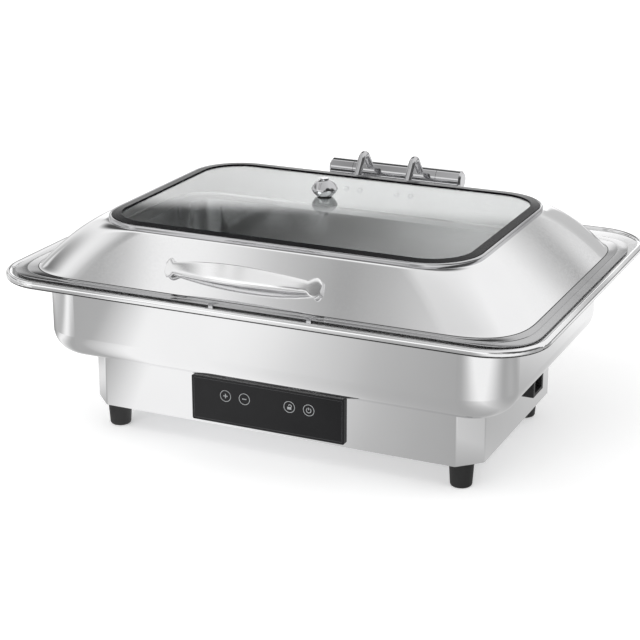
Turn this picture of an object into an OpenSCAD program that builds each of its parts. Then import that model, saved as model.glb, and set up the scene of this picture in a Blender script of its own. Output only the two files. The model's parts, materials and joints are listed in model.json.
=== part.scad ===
// Electric chafing dish with a hinged lid and a glass window, in millimetres.
// X runs from left to right, Y from front to back and Z up.
// The origin is on the table, under the middle of the rim.

/* [Rim] */
// Length of the rim over its bead
rim_l = 624; // [590:1:680]
// Width of the rim over its bead, front to back
rim_w = 467; // [430:1:520]
// Corner radius of the rim
rim_r = 62; // [50:1:66]
// Width of the rolled bead
bead_w = 7; // [5:0.5:8]
// Height of the rolled bead
bead_h = 8.5; // [8:0.5:11]
// How far the bead stands above the flat of the rim
bead_rise = 2.5; // [1:0.5:4]

/* [Water pan] */
// Width of the rim at its left and right ends, from its edge to the tub
rim_side = 39.5; // [37:0.5:46]
// Width of the rim in front of the tub
rim_front = 37.5; // [34:0.5:44]
// Width of the rim behind the tub, which leaves a shelf for the hinge
rim_rear = 64.5; // [60:0.5:72]
// Corner radius of the tub
tub_r = 50; // [44:1:56]
// Radius between the tub's walls and its bottom
tub_fillet = 28; // [15:1:34]
// Depth of the tub below the rim
tub_depth = 96; // [85:1:130]
// Thickness of the drawn sheet
sheet = 1; // [0.8:0.1:1.5]

/* [Base] */
// How far the base stands back from the tub's ends
base_inset_x = 38.5; // [36:0.5:60]
// How far the base stands back from the tub's front and rear
base_inset_y = 49.5; // [42:0.5:60]
// Bevel of the upright corners, along each side
base_chamfer = 24; // [15:1:35]
// Height of the base casing
base_h = 64; // [62:1:90]
// How far the base lies forward of the tub's middle
base_forward = 10; // [0:1:14]
// Thickness of the casing's sheet
base_wall = 1; // [0.8:0.1:1.5]
// Width of the casing's inward flange under the tub
base_flange = 10; // [6:1:16]
// Thickness of the bottom plate
plate_t = 1.2; // [1:0.1:2]
// How far the bottom plate is set up into the casing
plate_recess = 2; // [2:0.5:4]
// Length, width and height of a screw lug on the casing
lug = [14, 11, 3];
// Diameter of the bottom plate's screws
plate_screw_d = 3; // [2.5:0.5:4]
// Width of a cooling slot in the bottom plate
slot_w = 4; // [2:0.5:6]
// Distance between cooling slots
slot_pitch = 12; // [8:1:16]

/* [Feet] */
// Height of the base above the table
foot_h = 31; // [22:1:45]
// Diameter of a foot at its top
foot_top_d = 28; // [22:1:32]
// Diameter of a foot at the table
foot_bottom_d = 24; // [20:1:30]
// Rounding of the foot's lower edge
foot_round = 3; // [1:0.5:5]
// Distance from the base's sides to the middle of a foot
foot_inset = 26; // [22:1:40]
// Diameter of the foot screws
foot_screw_d = 4; // [3:0.5:5]

/* [Control panel] */
// Width of the panel
panel_w = 183; // [160:1:220]
// Height of the panel
panel_h = 52; // [44:1:54]
// Height of the panel's lower edge above the casing's lower edge
panel_lift = 4; // [3:0.5:8]
// Middle of the panel, from the middle of the base
panel_x = -6; // [-20:1:20]
// Corner radius of the panel
panel_r = 2; // [1:0.5:4]
// Thickness of the touch panel
face_t = 2; // [1.5:0.5:3]
// Thickness of the bezel's flange in front of the casing
bezel_t = 1.5; // [1:0.5:3]
// Width of the bezel's flange round the cut-out
bezel_lip = 4; // [3:0.5:6]
// Wall of the bezel's box
bezel_wall = 1.5; // [1:0.5:2.5]
// Depth of the bezel's box behind the casing's front
bezel_depth = 14; // [10:1:20]
// Depth of the shelf that carries the touch board, behind the casing's front
board_shelf = 5; // [4:0.5:7]
// Distance of the outer touch keys from the panel's middle
outer_key = 50; // [44:1:60]
// Distance of the inner touch keys from the panel's middle
inner_key = 27; // [20:1:34]
// Height of the touch keys above the panel's middle
key_up = 7; // [0:1:10]
// Diameter of a touch spring
key_spring_d = 10; // [6:1:12]
// Wall of a touch spring
key_spring_wall = 1; // [0.5:0.5:2]

/* [Mains inlet] */
// Width of the inlet's block
inlet_w = 34; // [30:1:40]
// Height of the inlet's block
inlet_h = 24; // [22:1:28]
// How far the block stands out of the casing
inlet_proud = 8; // [4:1:12]
// Middle of the inlet behind the middle of the base
inlet_back = 45; // [20:1:60]
// Height of the inlet's middle above the casing's lower edge
inlet_up = 36; // [30:1:44]
// Width and height of the socket
socket = [24, 16.5];
// Depth of the socket
socket_depth = 16; // [12:1:18]
// Rim left between the inlet's body inside the casing and its block
inlet_lip = 2.5; // [2:0.5:4]
// Back wall of the socket
inlet_back_wall = 4; // [3:0.5:6]
// Thickness, height and free length of a pin
pin_size = [2, 4, 11];
// Length of a pin's tail inside the base
pin_tail = 8; // [5:1:12]

/* [Heater] */
// Length, width and thickness of the heating plate
heat_plate = [280, 140, 4];
// Length and width of the insulation pad
heat_pad = [220, 136];
// Thickness of the insulation pad
pad_t = 16; // [12:1:20]
// Diameter of the tubular element
element_d = 6.5; // [5:0.5:8]
// Distance between the legs of the element
element_gap = 80; // [50:1:100]
// Length of the element's straight legs
element_leg = 150; // [120:1:170]
// Diameter of the heater's studs
stud_d = 4; // [3:0.5:5]
// Distance of the studs from the pad's edges
stud_inset = 12; // [8:1:20]
// Length of an element terminal
terminal_l = 14; // [8:1:20]
// Diameter and thickness of the thermal cutout's flange
cutout_flange = [16, 3];
// Diameter of the thermal cutout
cutout_d = 12; // [8:1:14]
// Height of the thermal cutout
cutout_h = 10; // [6:1:14]
// Diameter of the temperature sensor
sensor_d = 5; // [3:0.5:8]
// Length of the temperature sensor
sensor_l = 20; // [14:1:30]
// Width of the sensor's clip
sensor_clip = 12; // [8:1:16]
// Thickness of the sensor's clip
sensor_clip_t = 2; // [1:0.5:3]

/* [Control board] */
// Length, width and thickness of the control board
board = [110, 80, 1.6];
// Distance of the control board from the base's left end
board_from_end = 59; // [40:1:80]
// Distance of the control board from the base's rear
board_from_rear = 53; // [30:1:60]
// Height of the standoffs
standoff_h = 8; // [5:1:12]
// Diameter of the standoffs
standoff_d = 6; // [5:0.5:8]
// Length, width and height of the relay
relay = [19, 15, 15];
// Length and width of the transformer
transformer_foot = [26, 22];
// Heights of the transformer's lower core, winding and upper core
transformer_steps = [5, 12, 4];
// How far the winding stands back from the core
winding_inset = 3.5; // [2:0.5:6]
// Diameter of a capacitor
capacitor_d = 13; // [8:1:16]
// Height of a capacitor
capacitor_h = 18; // [10:1:20]
// Distance between the capacitors
capacitor_pitch = 20; // [18:1:30]

/* [Food pan] */
// Space between the food pan and the tub at the ends
pan_space_x = 14.5; // [13:0.5:16]
// Space between the food pan and the tub at the front and rear
pan_space_y = 16.5; // [14:0.5:18]
// Corner radius of the food pan
pan_r = 46; // [36:1:52]
// Radius between the food pan's walls and its bottom
pan_fillet = 18; // [8:1:30]
// Depth of the food pan
pan_depth = 65; // [40:1:75]
// Width of the food pan's flange
pan_flange = 19; // [18.5:0.5:20]

/* [Lid] */
// How far the foot of the slope stands outside the tub at the ends
lid_over_x = 11.5; // [10:0.5:14]
// How far the foot of the slope stands outside the tub at the front and rear
lid_over_y = 10.5; // [8:0.5:12]
// Corner radius at the foot of the slope
lid_r = 58; // [52:1:66]
// Width of the lid's flange at the ends
lid_flange_x = 18; // [12:0.5:19]
// Width of the lid's flange at the front and rear
lid_flange_y = 12.5; // [10:0.5:16]
// Corner radius of the flange's edge
lid_edge_r = 46; // [44:1:60]
// Thickness of the flange
lid_flange_t = 1.2; // [1:0.1:2]
// Height of the raised inner half of the flange
lid_ridge = 0.6; // [0.4:0.1:1]
// Gap between the lid's flange and the rim
lid_gap = 1.6; // [1.4:0.1:2.5]
// Height of the slope
lid_rise = 51.5; // [40:0.5:70]
// Share of the slope that is straight; the rest is a quarter ellipse
lid_straight = 0.6; // [0.3:0.05:0.9]
// How far the slope leans in at the ends
lean_in_x = 65.5; // [50:0.5:76]
// How far the slope leans in at the front and rear
lean_in_y = 41.5; // [34:0.5:48]
// Corner radius at the top of the slope
top_r = 60; // [54:1:70]
// Thickness of the lid's sheet
lid_t = 0.8; // [0.6:0.1:1.2]

/* [Window] */
// Width of the bright trim round the window
trim_w = 3.5; // [2.5:0.5:5]
// Height of the trim
trim_h = 4; // [4:0.5:6]
// Width of the black seal that shows round the glass
seal_w = 10; // [8:0.5:14]
// Height of the seal's upper lip above the glass, at its inner edge
seal_rise = 1.3; // [1:0.1:2]
// Thickness of the seal's lower lip
seal_lip = 0.8; // [0.6:0.1:1.2]
// Thickness of the seal's outer wall
seal_wall = 3; // [2:0.5:4]
// Thickness of the glass
glass_t = 3; // [2.5:0.1:3]

/* [Knob] */
// Diameter of the knob
knob_d = 30; // [24:1:40]
// Height of the knob's dome above its widest place
knob_dome = 11; // [8:0.5:14]
// Diameter of the knob's foot
knob_foot_d = 18; // [14:1:22]
// Diameter of the flat button on the dome
knob_button_d = 10; // [6:1:14]
// Place of the knob along the lid, from its middle
knob_x = -24.5; // [-40:0.5:40]
// Distance of the knob behind the middle of the lid
knob_back = 45.5; // [20:0.5:70]
// Diameter of the knob's bolt
knob_bolt_d = 5; // [4:0.5:6]
// Thickness of the knob's washers
knob_washer_t = 1; // [0.5:0.1:2]

/* [Handle] */
// Length of the handle
handle_l = 180; // [150:1:220]
// Place of the handle along the lid, from its middle
handle_x = -14.5; // [-40:0.5:40]
// Rise of the grip above the lid
handle_bow = 24; // [18:1:34]
// Height of the flared ends
handle_end_h = 22; // [18:1:28]
// Height of the necks beside the ends
handle_neck_h = 12.5; // [10:0.5:16]
// Height of the grip at its middle
handle_grip_h = 21; // [16:1:26]
// Thickness of the ends
handle_end_t = 6; // [5:0.5:9]
// Thickness of the grip at its middle
handle_grip_t = 9; // [7:0.5:12]
// Height of the handle above the foot of the slope
handle_up = 23; // [16:1:30]
// How far the grip hangs below its ends
handle_droop = 3.5; // [0:0.5:6]
// Distance of a screw from the handle's end
handle_screw_inset = 11; // [9:1:16]
// Diameter of the handle's screws
handle_screw_d = 5; // [4:0.5:6]

/* [Rest tabs] */
// Middle of the two tabs on the front flange
tab_x = 16; // [-30:1:30]
// Distance between the tabs
tab_gap = 112; // [80:1:160]
// Width of a tab
tab_w = 5; // [3:0.5:8]
// Thickness of a tab
tab_t = 1.2; // [0.8:0.1:2]

/* [Hinge] */
// Distance of the hinge axis from the rear edge of the rim
hinge_inset = 14; // [13:0.5:18]
// Place of the hinge along the lid, from its middle
hinge_x = -11.5; // [-40:0.5:40]
// Height of the hinge axis above the rim
hinge_rise = 43; // [38:1:50]
// Diameter of the barrel
barrel_d = 23; // [18:0.5:26]
// Diameter of the hinge pin
pin_d = 8; // [6:0.5:10]
// Length of the turning sleeve
sleeve_l = 110; // [90:1:140]
// Wall of the sleeve
sleeve_wall = 2.5; // [1.5:0.5:3.5]
// Length of a fixed knuckle
knuckle_l = 19; // [12:1:26]
// Length of an end cap
cap_l = 13; // [8:1:18]
// Bevel of an end cap
cap_bevel = 2.5; // [1:0.5:4]
// How deep the pin sits in an end cap
cap_seat = 8; // [5:1:10]
// Length of a damper cartridge
damper_l = 34; // [20:1:44]
// Thickness of the bracket's foot
bracket_t = 2.5; // [2:0.5:4]
// Depth of the bracket's foot in front of the axis
bracket_front = 16; // [14:0.5:20]
// Depth of the bracket's foot and posts behind the axis
bracket_back = 7; // [5:0.5:7]
// Diameter of the bracket's screws
bracket_screw_d = 4; // [3:0.5:5]
// Distance between the bracket's screws
bracket_pitch = 32; // [24:1:40]
// Diameter of the bent arms
arm_d = 9; // [6:0.5:11]
// Distance between the arms
arm_gap = 66; // [50:1:80]
// Radius of the bend, at the middle of the rod
arm_bend = 9; // [6:0.5:12]
// How far the corner of the bend lies in front of the axis
arm_reach = 26; // [20:1:34]
// How far the corner of the bend lies above the axis
arm_lift = 32; // [24:1:40]
// Height of the arms' feet above the foot of the slope
arm_up = 29; // [22:1:36]
// Length, height and thickness of an arm's foot plate
arm_foot = [28, 16, 2.5];
// Diameter of the screws in the arms' feet
arm_screw_d = 4; // [3:0.5:5]

/* [Clearances] */
// Clearance between a shaft and its bore, on the radius
fit = 0.05; // [0.02:0.01:0.1]
// Clearance between parts that are set into each other
slack = 0.2; // [0.1:0.1:0.5]
// Running gap between turning and fixed faces
run_gap = 0.4; // [0.3:0.1:0.8]

/* [Hidden] */
$fn = 64;
hull_fn = 40;
cut = 1;
quarter_turn = 90;

// Levels, from the table up
base_z = foot_h;
plate_z = base_z + plate_recess;
plate_top = plate_z + plate_t;
tub_z = base_z + base_h;
rim_z = tub_z + tub_depth;
lid_z = rim_z + lid_gap;
slope_z = lid_z + lid_flange_t + lid_ridge;
top_z = slope_z + lid_rise;
glass_z = top_z + seal_lip;
glass_top = glass_z + glass_t;

// Lengths and widths, each from the one outside it
tub_l = rim_l - 2 * rim_side;
tub_w = rim_w - rim_front - rim_rear;
base_l = tub_l - 2 * base_inset_x;
base_w = tub_w - 2 * base_inset_y;
pan_l = tub_l - 2 * pan_space_x;
pan_w = tub_w - 2 * pan_space_y;
lid_l = tub_l + 2 * lid_over_x;
lid_w = tub_w + 2 * lid_over_y;
top_l = lid_l - 2 * lean_in_x;
top_w = lid_w - 2 * lean_in_y;

// Middles, front to back
tub_y = (rim_front - rim_rear) / 2;
base_y = tub_y - base_forward;
lid_y = tub_y;
hinge_y = rim_w / 2 - hinge_inset;
hinge_z = rim_z + hinge_rise;
base_front = base_y - base_w / 2;

// Inside of the casing
inner_l = base_l - 2 * base_wall;
inner_w = base_w - 2 * base_wall;
inner_chamfer = base_chamfer - base_wall / 2;

// Feet, screws and lugs of the base
foot_x = base_l / 2 - foot_inset;
foot_y = base_w / 2 - foot_inset;
foot_head_d = 1.9 * foot_screw_d;
foot_head_h = 0.7 * foot_screw_d;
foot_seat = foot_h / 2;
foot_nut_h = 0.8 * foot_screw_d;
plate_head_d = 2.1 * plate_screw_d;
plate_head_h = 0.6 * plate_screw_d;
lug_along = base_l / 4;
lug_in = (base_wall + lug[1]) / 2;
lug_points = [
    for (sx = [-1, 1], sy = [-1, 1]) [sx * lug_along, sy * (base_w / 2 - lug_in), 0],
    for (sx = [-1, 1]) [sx * (base_l / 2 - lug_in), 0, quarter_turn]
];
foot_points = [for (sx = [-1, 1], sy = [-1, 1]) [sx * foot_x, base_y + sy * foot_y, 0]];

// Panel
panel_z = base_z + panel_lift + panel_h / 2;
bezel_w = panel_w - 2 * bezel_lip;
bezel_h = panel_h - 2 * bezel_lip;
shelf_lip = 3;
touch_board_t = 1.6;
touch_board_y = base_front + board_shelf - touch_board_t;
key_places = [-outer_key, -inner_key, inner_key, outer_key];

// Inlet
inlet_y = base_y + inlet_back;
inlet_z = base_z + inlet_up;
inlet_body_l = socket_depth + inlet_back_wall - inlet_proud;
inlet_floor = base_l / 2 + inlet_proud - socket_depth;
socket_bevel = 4;
pin_places = [[-7, 1.5], [0, -2.5], [7, 1.5]];

// Heater stack, hanging under the tub
heat_z = tub_z - heat_plate[2];
pad_z = heat_z - pad_t;
retainer_t = 1;
retainer_z = pad_z - retainer_t;
stud_nut_h = 0.8 * stud_d;
stud_low = retainer_z - stud_nut_h - 2;
stud_points = [
    for (sx = [-1, 1], sy = [-1, 1])
        [sx * (heat_pad[0] / 2 - stud_inset), base_y + sy * (heat_pad[1] / 2 - stud_inset), 0]
];
element_z = heat_z - element_d / 2;
sensor_x = (heat_plate[0] + heat_pad[0]) / 4;

// Control board
board_z = plate_top + standoff_h;
board_top = board_z + board[2];
standoff_inset = 6;
board_points = [
    for (sx = [-1, 1], sy = [-1, 1])
        [sx * (board[0] / 2 - standoff_inset), sy * (board[1] / 2 - standoff_inset), 0]
];
board_screw_d = 3;
board_at = [(board[0] - base_l) / 2 + board_from_end, (base_w - board[1]) / 2 - board_from_rear];

// Lid and window
trim_inner = trim_w + slack;
seal_l = top_l / 2 - trim_inner;
seal_half_w = top_w / 2 - trim_inner;
seal_r = top_r - trim_inner;
glass_inset = seal_wall + slack;
seal_top = seal_lip + glass_t + seal_rise;
lid_slices = 9;
slice_t = 0.01;

// Knob
knob_at = [knob_x, lid_y + knob_back];
knob_z = glass_top + knob_washer_t;
knob_ball_r = (pow(knob_d / 2, 2) + pow(knob_dome, 2)) / (2 * knob_dome);
knob_offset = knob_ball_r - knob_dome;
knob_belly = sqrt(pow(knob_ball_r, 2) - pow(knob_foot_d / 2, 2)) - knob_offset;
knob_washer_d = 0.9 * knob_foot_d;
knob_top = knob_belly + knob_dome;
knob_button_h = 1.2;
knob_hole_depth = 0.6 * knob_top;
knob_nut_d = 1.9 * knob_bolt_d;
knob_nut_h = 0.8 * knob_bolt_d;

// Handle
handle_z = slope_z + handle_up;
handle_neck_at = 0.86;
handle_flare_at = 0.55;
handle_end_round = 0.45;
handle_square = 0.6;
handle_steps = 36;
handle_sides = 16;
handle_pad_d = handle_neck_h;
handle_head_h = 0.5 * handle_screw_d;
handle_head_d = 1.8 * handle_screw_d;
handle_screw_in = handle_end_t - 1.5;

// Hinge
barrel_r = barrel_d / 2;
bracket_l = sleeve_l + 2 * knuckle_l;
pin_l = bracket_l + 2 * cap_seat;
bracket_screw_y = hinge_y - bracket_front / 2 - 2;
bracket_head_d = 1.9 * bracket_screw_d;
bracket_head_h = 0.6 * bracket_screw_d;
bracket_nut_h = 0.8 * bracket_screw_d;
bracket_screw_points = [
    for (i = [-1.5:1:1.5]) [hinge_x + i * bracket_pitch, bracket_screw_y, 0]
];
damper_d = barrel_d - 2 * sleeve_wall - 2 * fit;
arm_foot_z = slope_z + arm_up;
arm_head_h = 0.55 * arm_screw_d;
arm_nut_h = 0.8 * arm_screw_d;
arm_screw_x = arm_foot[0] / 2 - 5;
arm_sides = 20;
arm_steps = 8;
lid_skin = 1.6 * lid_t;

// Colours
steel = [0.80, 0.80, 0.82];
chrome = [0.86, 0.87, 0.89];
zinc = [0.66, 0.67, 0.70];
black = [0.07, 0.07, 0.08];
rubber = [0.10, 0.10, 0.10];
board_green = [0.10, 0.35, 0.20];
brass = [0.80, 0.68, 0.36];

// Flat rectangle with rounded corners, given by half its length and width
module rounded(half_l, half_w, r) {
    square([2 * half_l, 2 * (half_w - r)], center = true);
    square([2 * (half_l - r), 2 * half_w], center = true);
    for (sx = [-1, 1], sy = [-1, 1])
        translate([sx * (half_l - r), sy * (half_w - r)]) circle(r);
}

// Rectangle with bevelled corners
module bevelled(l, w, bevel) {
    polygon([
        [l / 2 - bevel, -w / 2], [l / 2, -w / 2 + bevel], [l / 2, w / 2 - bevel], [l / 2 - bevel, w / 2],
        [-l / 2 + bevel, w / 2], [-l / 2, w / 2 - bevel], [-l / 2, -w / 2 + bevel], [-l / 2 + bevel, -w / 2]
    ]);
}

// Runs a profile round a rounded rectangle. The profile's x is 0 on that outline and grows outward.
module run_round(half_l, half_w, r) {
    for (k = [0:3]) {
        along = k % 2 == 0 ? half_l : half_w;
        out = k % 2 == 0 ? half_w : half_l;
        rotate([0, 0, 90 * k]) {
            rotate([90, 0, 90])
                linear_extrude(2 * (along - r), center = true) translate([out, 0]) children();
            translate([along - r, out - r, 0])
                rotate_extrude(angle = 90) translate([r, 0]) children();
        }
    }
}

// Wall of a drawn pan: upright sheet from height z0 to z1 with a quarter round at its foot
module pan_wall(z0, z1, round_r) {
    translate([-sheet, z0 + round_r]) square([sheet, z1 - z0 - round_r]);
    translate([-round_r, z0 + round_r])
        intersection() {
            difference() {
                circle(round_r);
                circle(round_r - sheet);
            }
            translate([0, -round_r]) square(round_r);
        }
}

// Places its children at each point of a list, turned by the third value about Z
module at_points(points) {
    for (p = points)
        translate([p[0], p[1], 0]) rotate([0, 0, p[2]]) children();
}

// Screw with its head under the seat at z and its shank upward
module screw_up(z, d, l, head_d, head_h) {
    translate([0, 0, z - head_h]) cylinder(d = head_d, h = head_h);
    translate([0, 0, z]) cylinder(d = d, h = l);
}

// Hexagon nut with a bore
module hex_nut(z, d, bore, h) {
    translate([0, 0, z])
        difference() {
            cylinder(d = d, h = h, $fn = 6);
            translate([0, 0, -cut]) cylinder(d = bore, h = h + 2 * cut);
        }
}

// Sizes of the lid's slope: the share of its inset at a height, half its width, and its lean from upright
function slope_share(z) =
    let (t = max(0, (z - slope_z) / lid_rise))
        lid_straight * t + (1 - lid_straight) * (1 - sqrt(1 - t * t));
function lid_half_w(z) = lid_w / 2 - lean_in_y * slope_share(z);
function slope_lean(z) =
    let (t = (z - slope_z) / lid_rise)
        atan(lean_in_y / lid_rise * (lid_straight + (1 - lid_straight) * t / sqrt(1 - t * t)));

// Places its children on the lid's front or rear slope, with Z outward and Y up the slope
module on_slope(rear, x, z) {
    translate([x, lid_y + (rear ? 1 : -1) * lid_half_w(z), z])
        rotate([0, 0, rear ? 180 : 0]) rotate([90 - slope_lean(z), 0, 0]) children();
}

// Solid of the lid's slope, set in and down by the sheet's thickness
module slope_block(inset) {
    hull()
        for (i = [0:lid_slices]) {
            rise = sin(quarter_turn * i / lid_slices);
            share = lid_straight * rise + (1 - lid_straight) * (1 - cos(quarter_turn * i / lid_slices));
            translate([0, lid_y, slope_z + rise * lid_rise - inset - slice_t])
                linear_extrude(slice_t)
                    rounded(
                        lid_l / 2 - lean_in_x * share - inset,
                        lid_w / 2 - lean_in_y * share - inset,
                        lid_r + (top_r - lid_r) * share - inset,
                        $fn = hull_fn
                    );
        }
}

// Base
module base_casing() {
    color(steel)
        difference() {
            union() {
                translate([0, base_y, base_z])
                    difference() {
                        linear_extrude(base_h) bevelled(base_l, base_w, base_chamfer);
                        translate([0, 0, -cut])
                            linear_extrude(base_h - base_wall + cut)
                                bevelled(inner_l, inner_w, inner_chamfer);
                        linear_extrude(base_h + cut)
                            bevelled(base_l - 2 * base_flange, base_w - 2 * base_flange, base_chamfer);
                    }
                translate([0, base_y, plate_top]) at_points(lug_points) casing_lug();
            }
            translate([panel_x, base_front, panel_z])
                cube([bezel_w, 4 * base_wall, bezel_h], center = true);
            translate([base_l / 2, inlet_y, inlet_z])
                cube([4 * base_wall, inlet_w - 2 * inlet_lip, inlet_h - 2 * inlet_lip], center = true);
        }
}

// Lug welded to the casing's wall, with the hole of a plate screw
module casing_lug() {
    difference() {
        translate([-lug[0] / 2, -lug[1] / 2, 0]) cube(lug);
        translate([0, 0, -cut]) cylinder(d = plate_screw_d + 2 * fit, h = lug[2] + 2 * cut);
    }
}

module bottom_plate() {
    color(zinc)
        translate([0, 0, plate_z])
            difference() {
                translate([0, base_y, 0])
                    linear_extrude(plate_t)
                        bevelled(inner_l - 2 * slack, inner_w - 2 * slack, inner_chamfer);
                translate([0, base_y, -cut])
                    at_points(lug_points) cylinder(d = plate_screw_d + 2 * slack, h = plate_t + 2 * cut);
                translate([0, 0, -cut])
                    at_points(foot_points) cylinder(d = foot_screw_d + 2 * slack, h = plate_t + 2 * cut);
                vent_slots();
            }
}

// Rows of cooling slots through the bottom plate
module vent_slots() {
    for (side = [-1, 1], i = [-3:3])
        translate([side * base_l / 8 + i * slot_pitch, base_y, 0])
            cube([slot_w, base_w / 5, 4 * plate_t], center = true);
}

module bottom_screws() {
    color(zinc)
        translate([0, base_y, 0])
            at_points(lug_points)
                screw_up(plate_z, plate_screw_d, plate_t + lug[2] + 2, plate_head_d, plate_head_h);
}

module rubber_feet() {
    color(rubber) at_points(foot_points) rubber_foot();
}

// Tapered foot, hollow from below for its screw
module rubber_foot() {
    bottom_r = foot_bottom_d / 2;
    rotate_extrude()
        difference() {
            union() {
                polygon([
                    [0, foot_round], [bottom_r, foot_round], [foot_top_d / 2, plate_z], [0, plate_z]
                ]);
                square([bottom_r - foot_round, foot_round]);
                translate([bottom_r - foot_round, foot_round])
                    intersection() {
                        circle(foot_round);
                        translate([0, -foot_round]) square(foot_round);
                    }
            }
            translate([0, -cut]) square([foot_screw_d / 2 + fit, plate_z + 2 * cut]);
            translate([0, -cut]) square([foot_head_d / 2 + slack, foot_seat + cut]);
        }
}

module foot_screws() {
    shank = plate_top + foot_nut_h + 1 - foot_seat;
    color(zinc)
        at_points(foot_points) screw_up(foot_seat, foot_screw_d, shank, foot_head_d, foot_head_h);
}

module foot_nuts() {
    color(zinc)
        at_points(foot_points)
            hex_nut(plate_top, 2 * foot_screw_d, foot_screw_d + 2 * fit, foot_nut_h);
}

// Control panel
module panel_plate(w, h, t) {
    rotate([90, 0, 0]) linear_extrude(t) rounded(w / 2, h / 2, panel_r);
}

module panel_bezel() {
    box_w = bezel_w - 2 * slack;
    box_h = bezel_h - 2 * slack;
    shelf_edge = bezel_wall + shelf_lip;
    color(black)
        translate([panel_x, base_front, panel_z])
            difference() {
                union() {
                    panel_plate(panel_w, panel_h, bezel_t);
                    translate([-box_w / 2, 0, -box_h / 2]) cube([box_w, bezel_depth, box_h]);
                }
                translate([-box_w / 2 + bezel_wall, -bezel_t - cut, -box_h / 2 + bezel_wall])
                    cube([box_w - 2 * bezel_wall, bezel_t + board_shelf + cut, box_h - 2 * bezel_wall]);
                translate([-box_w / 2 + shelf_edge, 0, -box_h / 2 + shelf_edge])
                    cube([box_w - 2 * shelf_edge, bezel_depth + cut, box_h - 2 * shelf_edge]);
            }
}

module touch_panel() {
    color(black)
        translate([panel_x, base_front - bezel_t, panel_z]) panel_plate(panel_w, panel_h, face_t);
}

module touch_board() {
    board_w = bezel_w - 2 * bezel_wall - 4 * slack;
    board_h = bezel_h - 2 * bezel_wall - 4 * slack;
    color(board_green)
        translate([panel_x - board_w / 2, touch_board_y, panel_z - board_h / 2])
            cube([board_w, touch_board_t, board_h]);
}

module touch_springs() {
    spring_l = touch_board_y - base_front + bezel_t;
    color(brass)
        for (x = key_places)
            translate([panel_x + x, touch_board_y, panel_z + key_up])
                rotate([90, 0, 0])
                    difference() {
                        cylinder(d = key_spring_d, h = spring_l);
                        translate([0, 0, -cut])
                            cylinder(d = key_spring_d - 2 * key_spring_wall, h = spring_l + 2 * cut);
                    }
}

// Control board
module on_board() {
    translate([board_at[0], base_y + board_at[1], 0]) children();
}

module control_board() {
    color(board_green)
        on_board()
            translate([0, 0, board_z])
                difference() {
                    translate([-board[0] / 2, -board[1] / 2, 0]) cube(board);
                    translate([0, 0, -cut])
                        at_points(board_points) cylinder(d = board_screw_d + 2 * fit, h = board[2] + 2 * cut);
                }
}

module board_standoffs() {
    color(zinc)
        on_board()
            at_points(board_points)
                translate([0, 0, plate_top])
                    difference() {
                        cylinder(d = standoff_d, h = standoff_h);
                        translate([0, 0, standoff_h / 3])
                            cylinder(d = board_screw_d + 2 * fit, h = standoff_h);
                    }
}

module board_screws() {
    color(zinc)
        on_board()
            at_points(board_points) {
                translate([0, 0, board_top]) cylinder(d = 1.8 * board_screw_d, h = 0.6 * board_screw_d);
                translate([0, 0, board_top - board[2] - standoff_h / 2])
                    cylinder(d = board_screw_d, h = board[2] + standoff_h / 2);
            }
}

module power_relay() {
    color([0.15, 0.2, 0.5])
        on_board() translate([-board[0] / 3, -board[1] / 4, board_top]) cube(relay);
}

module transformer() {
    foot = transformer_foot;
    low = transformer_steps[0];
    winding = transformer_steps[1];
    color([0.75, 0.62, 0.2])
        on_board()
            translate([board[0] / 12, -board[1] / 4, board_top]) {
                cube([foot[0], foot[1], low]);
                translate([winding_inset, winding_inset, low])
                    cube([foot[0] - 2 * winding_inset, foot[1] - 2 * winding_inset, winding]);
                translate([0, 0, low + winding]) cube([foot[0], foot[1], transformer_steps[2]]);
            }
}

module filter_capacitors() {
    color([0.1, 0.1, 0.3])
        on_board()
            for (i = [0, 1])
                translate([-board[0] / 6 + capacitor_pitch * i, board[1] / 4, board_top])
                    cylinder(d = capacitor_d, h = capacitor_h);
}

// Mains inlet
module power_inlet() {
    body_w = inlet_w - 2 * inlet_lip - 2 * slack;
    body_h = inlet_h - 2 * inlet_lip - 2 * slack;
    color(black)
        translate([base_l / 2, inlet_y, inlet_z])
            difference() {
                union() {
                    translate([0, -inlet_w / 2, -inlet_h / 2]) cube([inlet_proud, inlet_w, inlet_h]);
                    translate([-inlet_body_l, -body_w / 2, -body_h / 2]) cube([inlet_body_l, body_w, body_h]);
                }
                translate([inlet_proud - socket_depth, 0, 0])
                    rotate([90, 0, 90]) linear_extrude(socket_depth + cut) socket_outline();
                for (p = pin_places)
                    translate([0, p[0], p[1]])
                        cube([4 * socket_depth, pin_size[0] + 2 * fit, pin_size[1] + 2 * fit], center = true);
            }
}

// Opening of the socket, with its two bevelled upper corners
module socket_outline() {
    w = socket[0] / 2;
    h = socket[1] / 2;
    b = socket_bevel;
    polygon([[-w, -h], [w, -h], [w, h - b], [w - b, h], [-w + b, h], [-w, h - b]]);
}

module inlet_pins() {
    low = inlet_floor - inlet_back_wall - pin_tail;
    pin_l = pin_tail + inlet_back_wall + pin_size[2];
    color(brass)
        for (p = pin_places)
            translate([low, inlet_y + p[0] - pin_size[0] / 2, inlet_z + p[1] - pin_size[1] / 2])
                cube([pin_l, pin_size[0], pin_size[1]]);
}

// Heater
module heating_plate() {
    color([0.72, 0.73, 0.74])
        difference() {
            translate([-heat_plate[0] / 2, base_y - heat_plate[1] / 2, heat_z]) cube(heat_plate);
            translate([0, 0, heat_z - cut])
                at_points(stud_points) cylinder(d = stud_d + 2 * fit, h = heat_plate[2] / 2 + cut);
        }
}

// Hairpin of the tubular element: two legs and a half round, lying flat
module element_shape(d, extra) {
    translate([element_leg / 2, base_y, element_z]) {
        for (s = [-1, 1])
            translate([0, s * element_gap / 2, 0])
                rotate([0, -90, 0]) cylinder(d = d, h = element_leg + extra);
        rotate([0, 0, -90]) rotate_extrude(angle = 180) translate([element_gap / 2, 0]) circle(d = d);
    }
}

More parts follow.
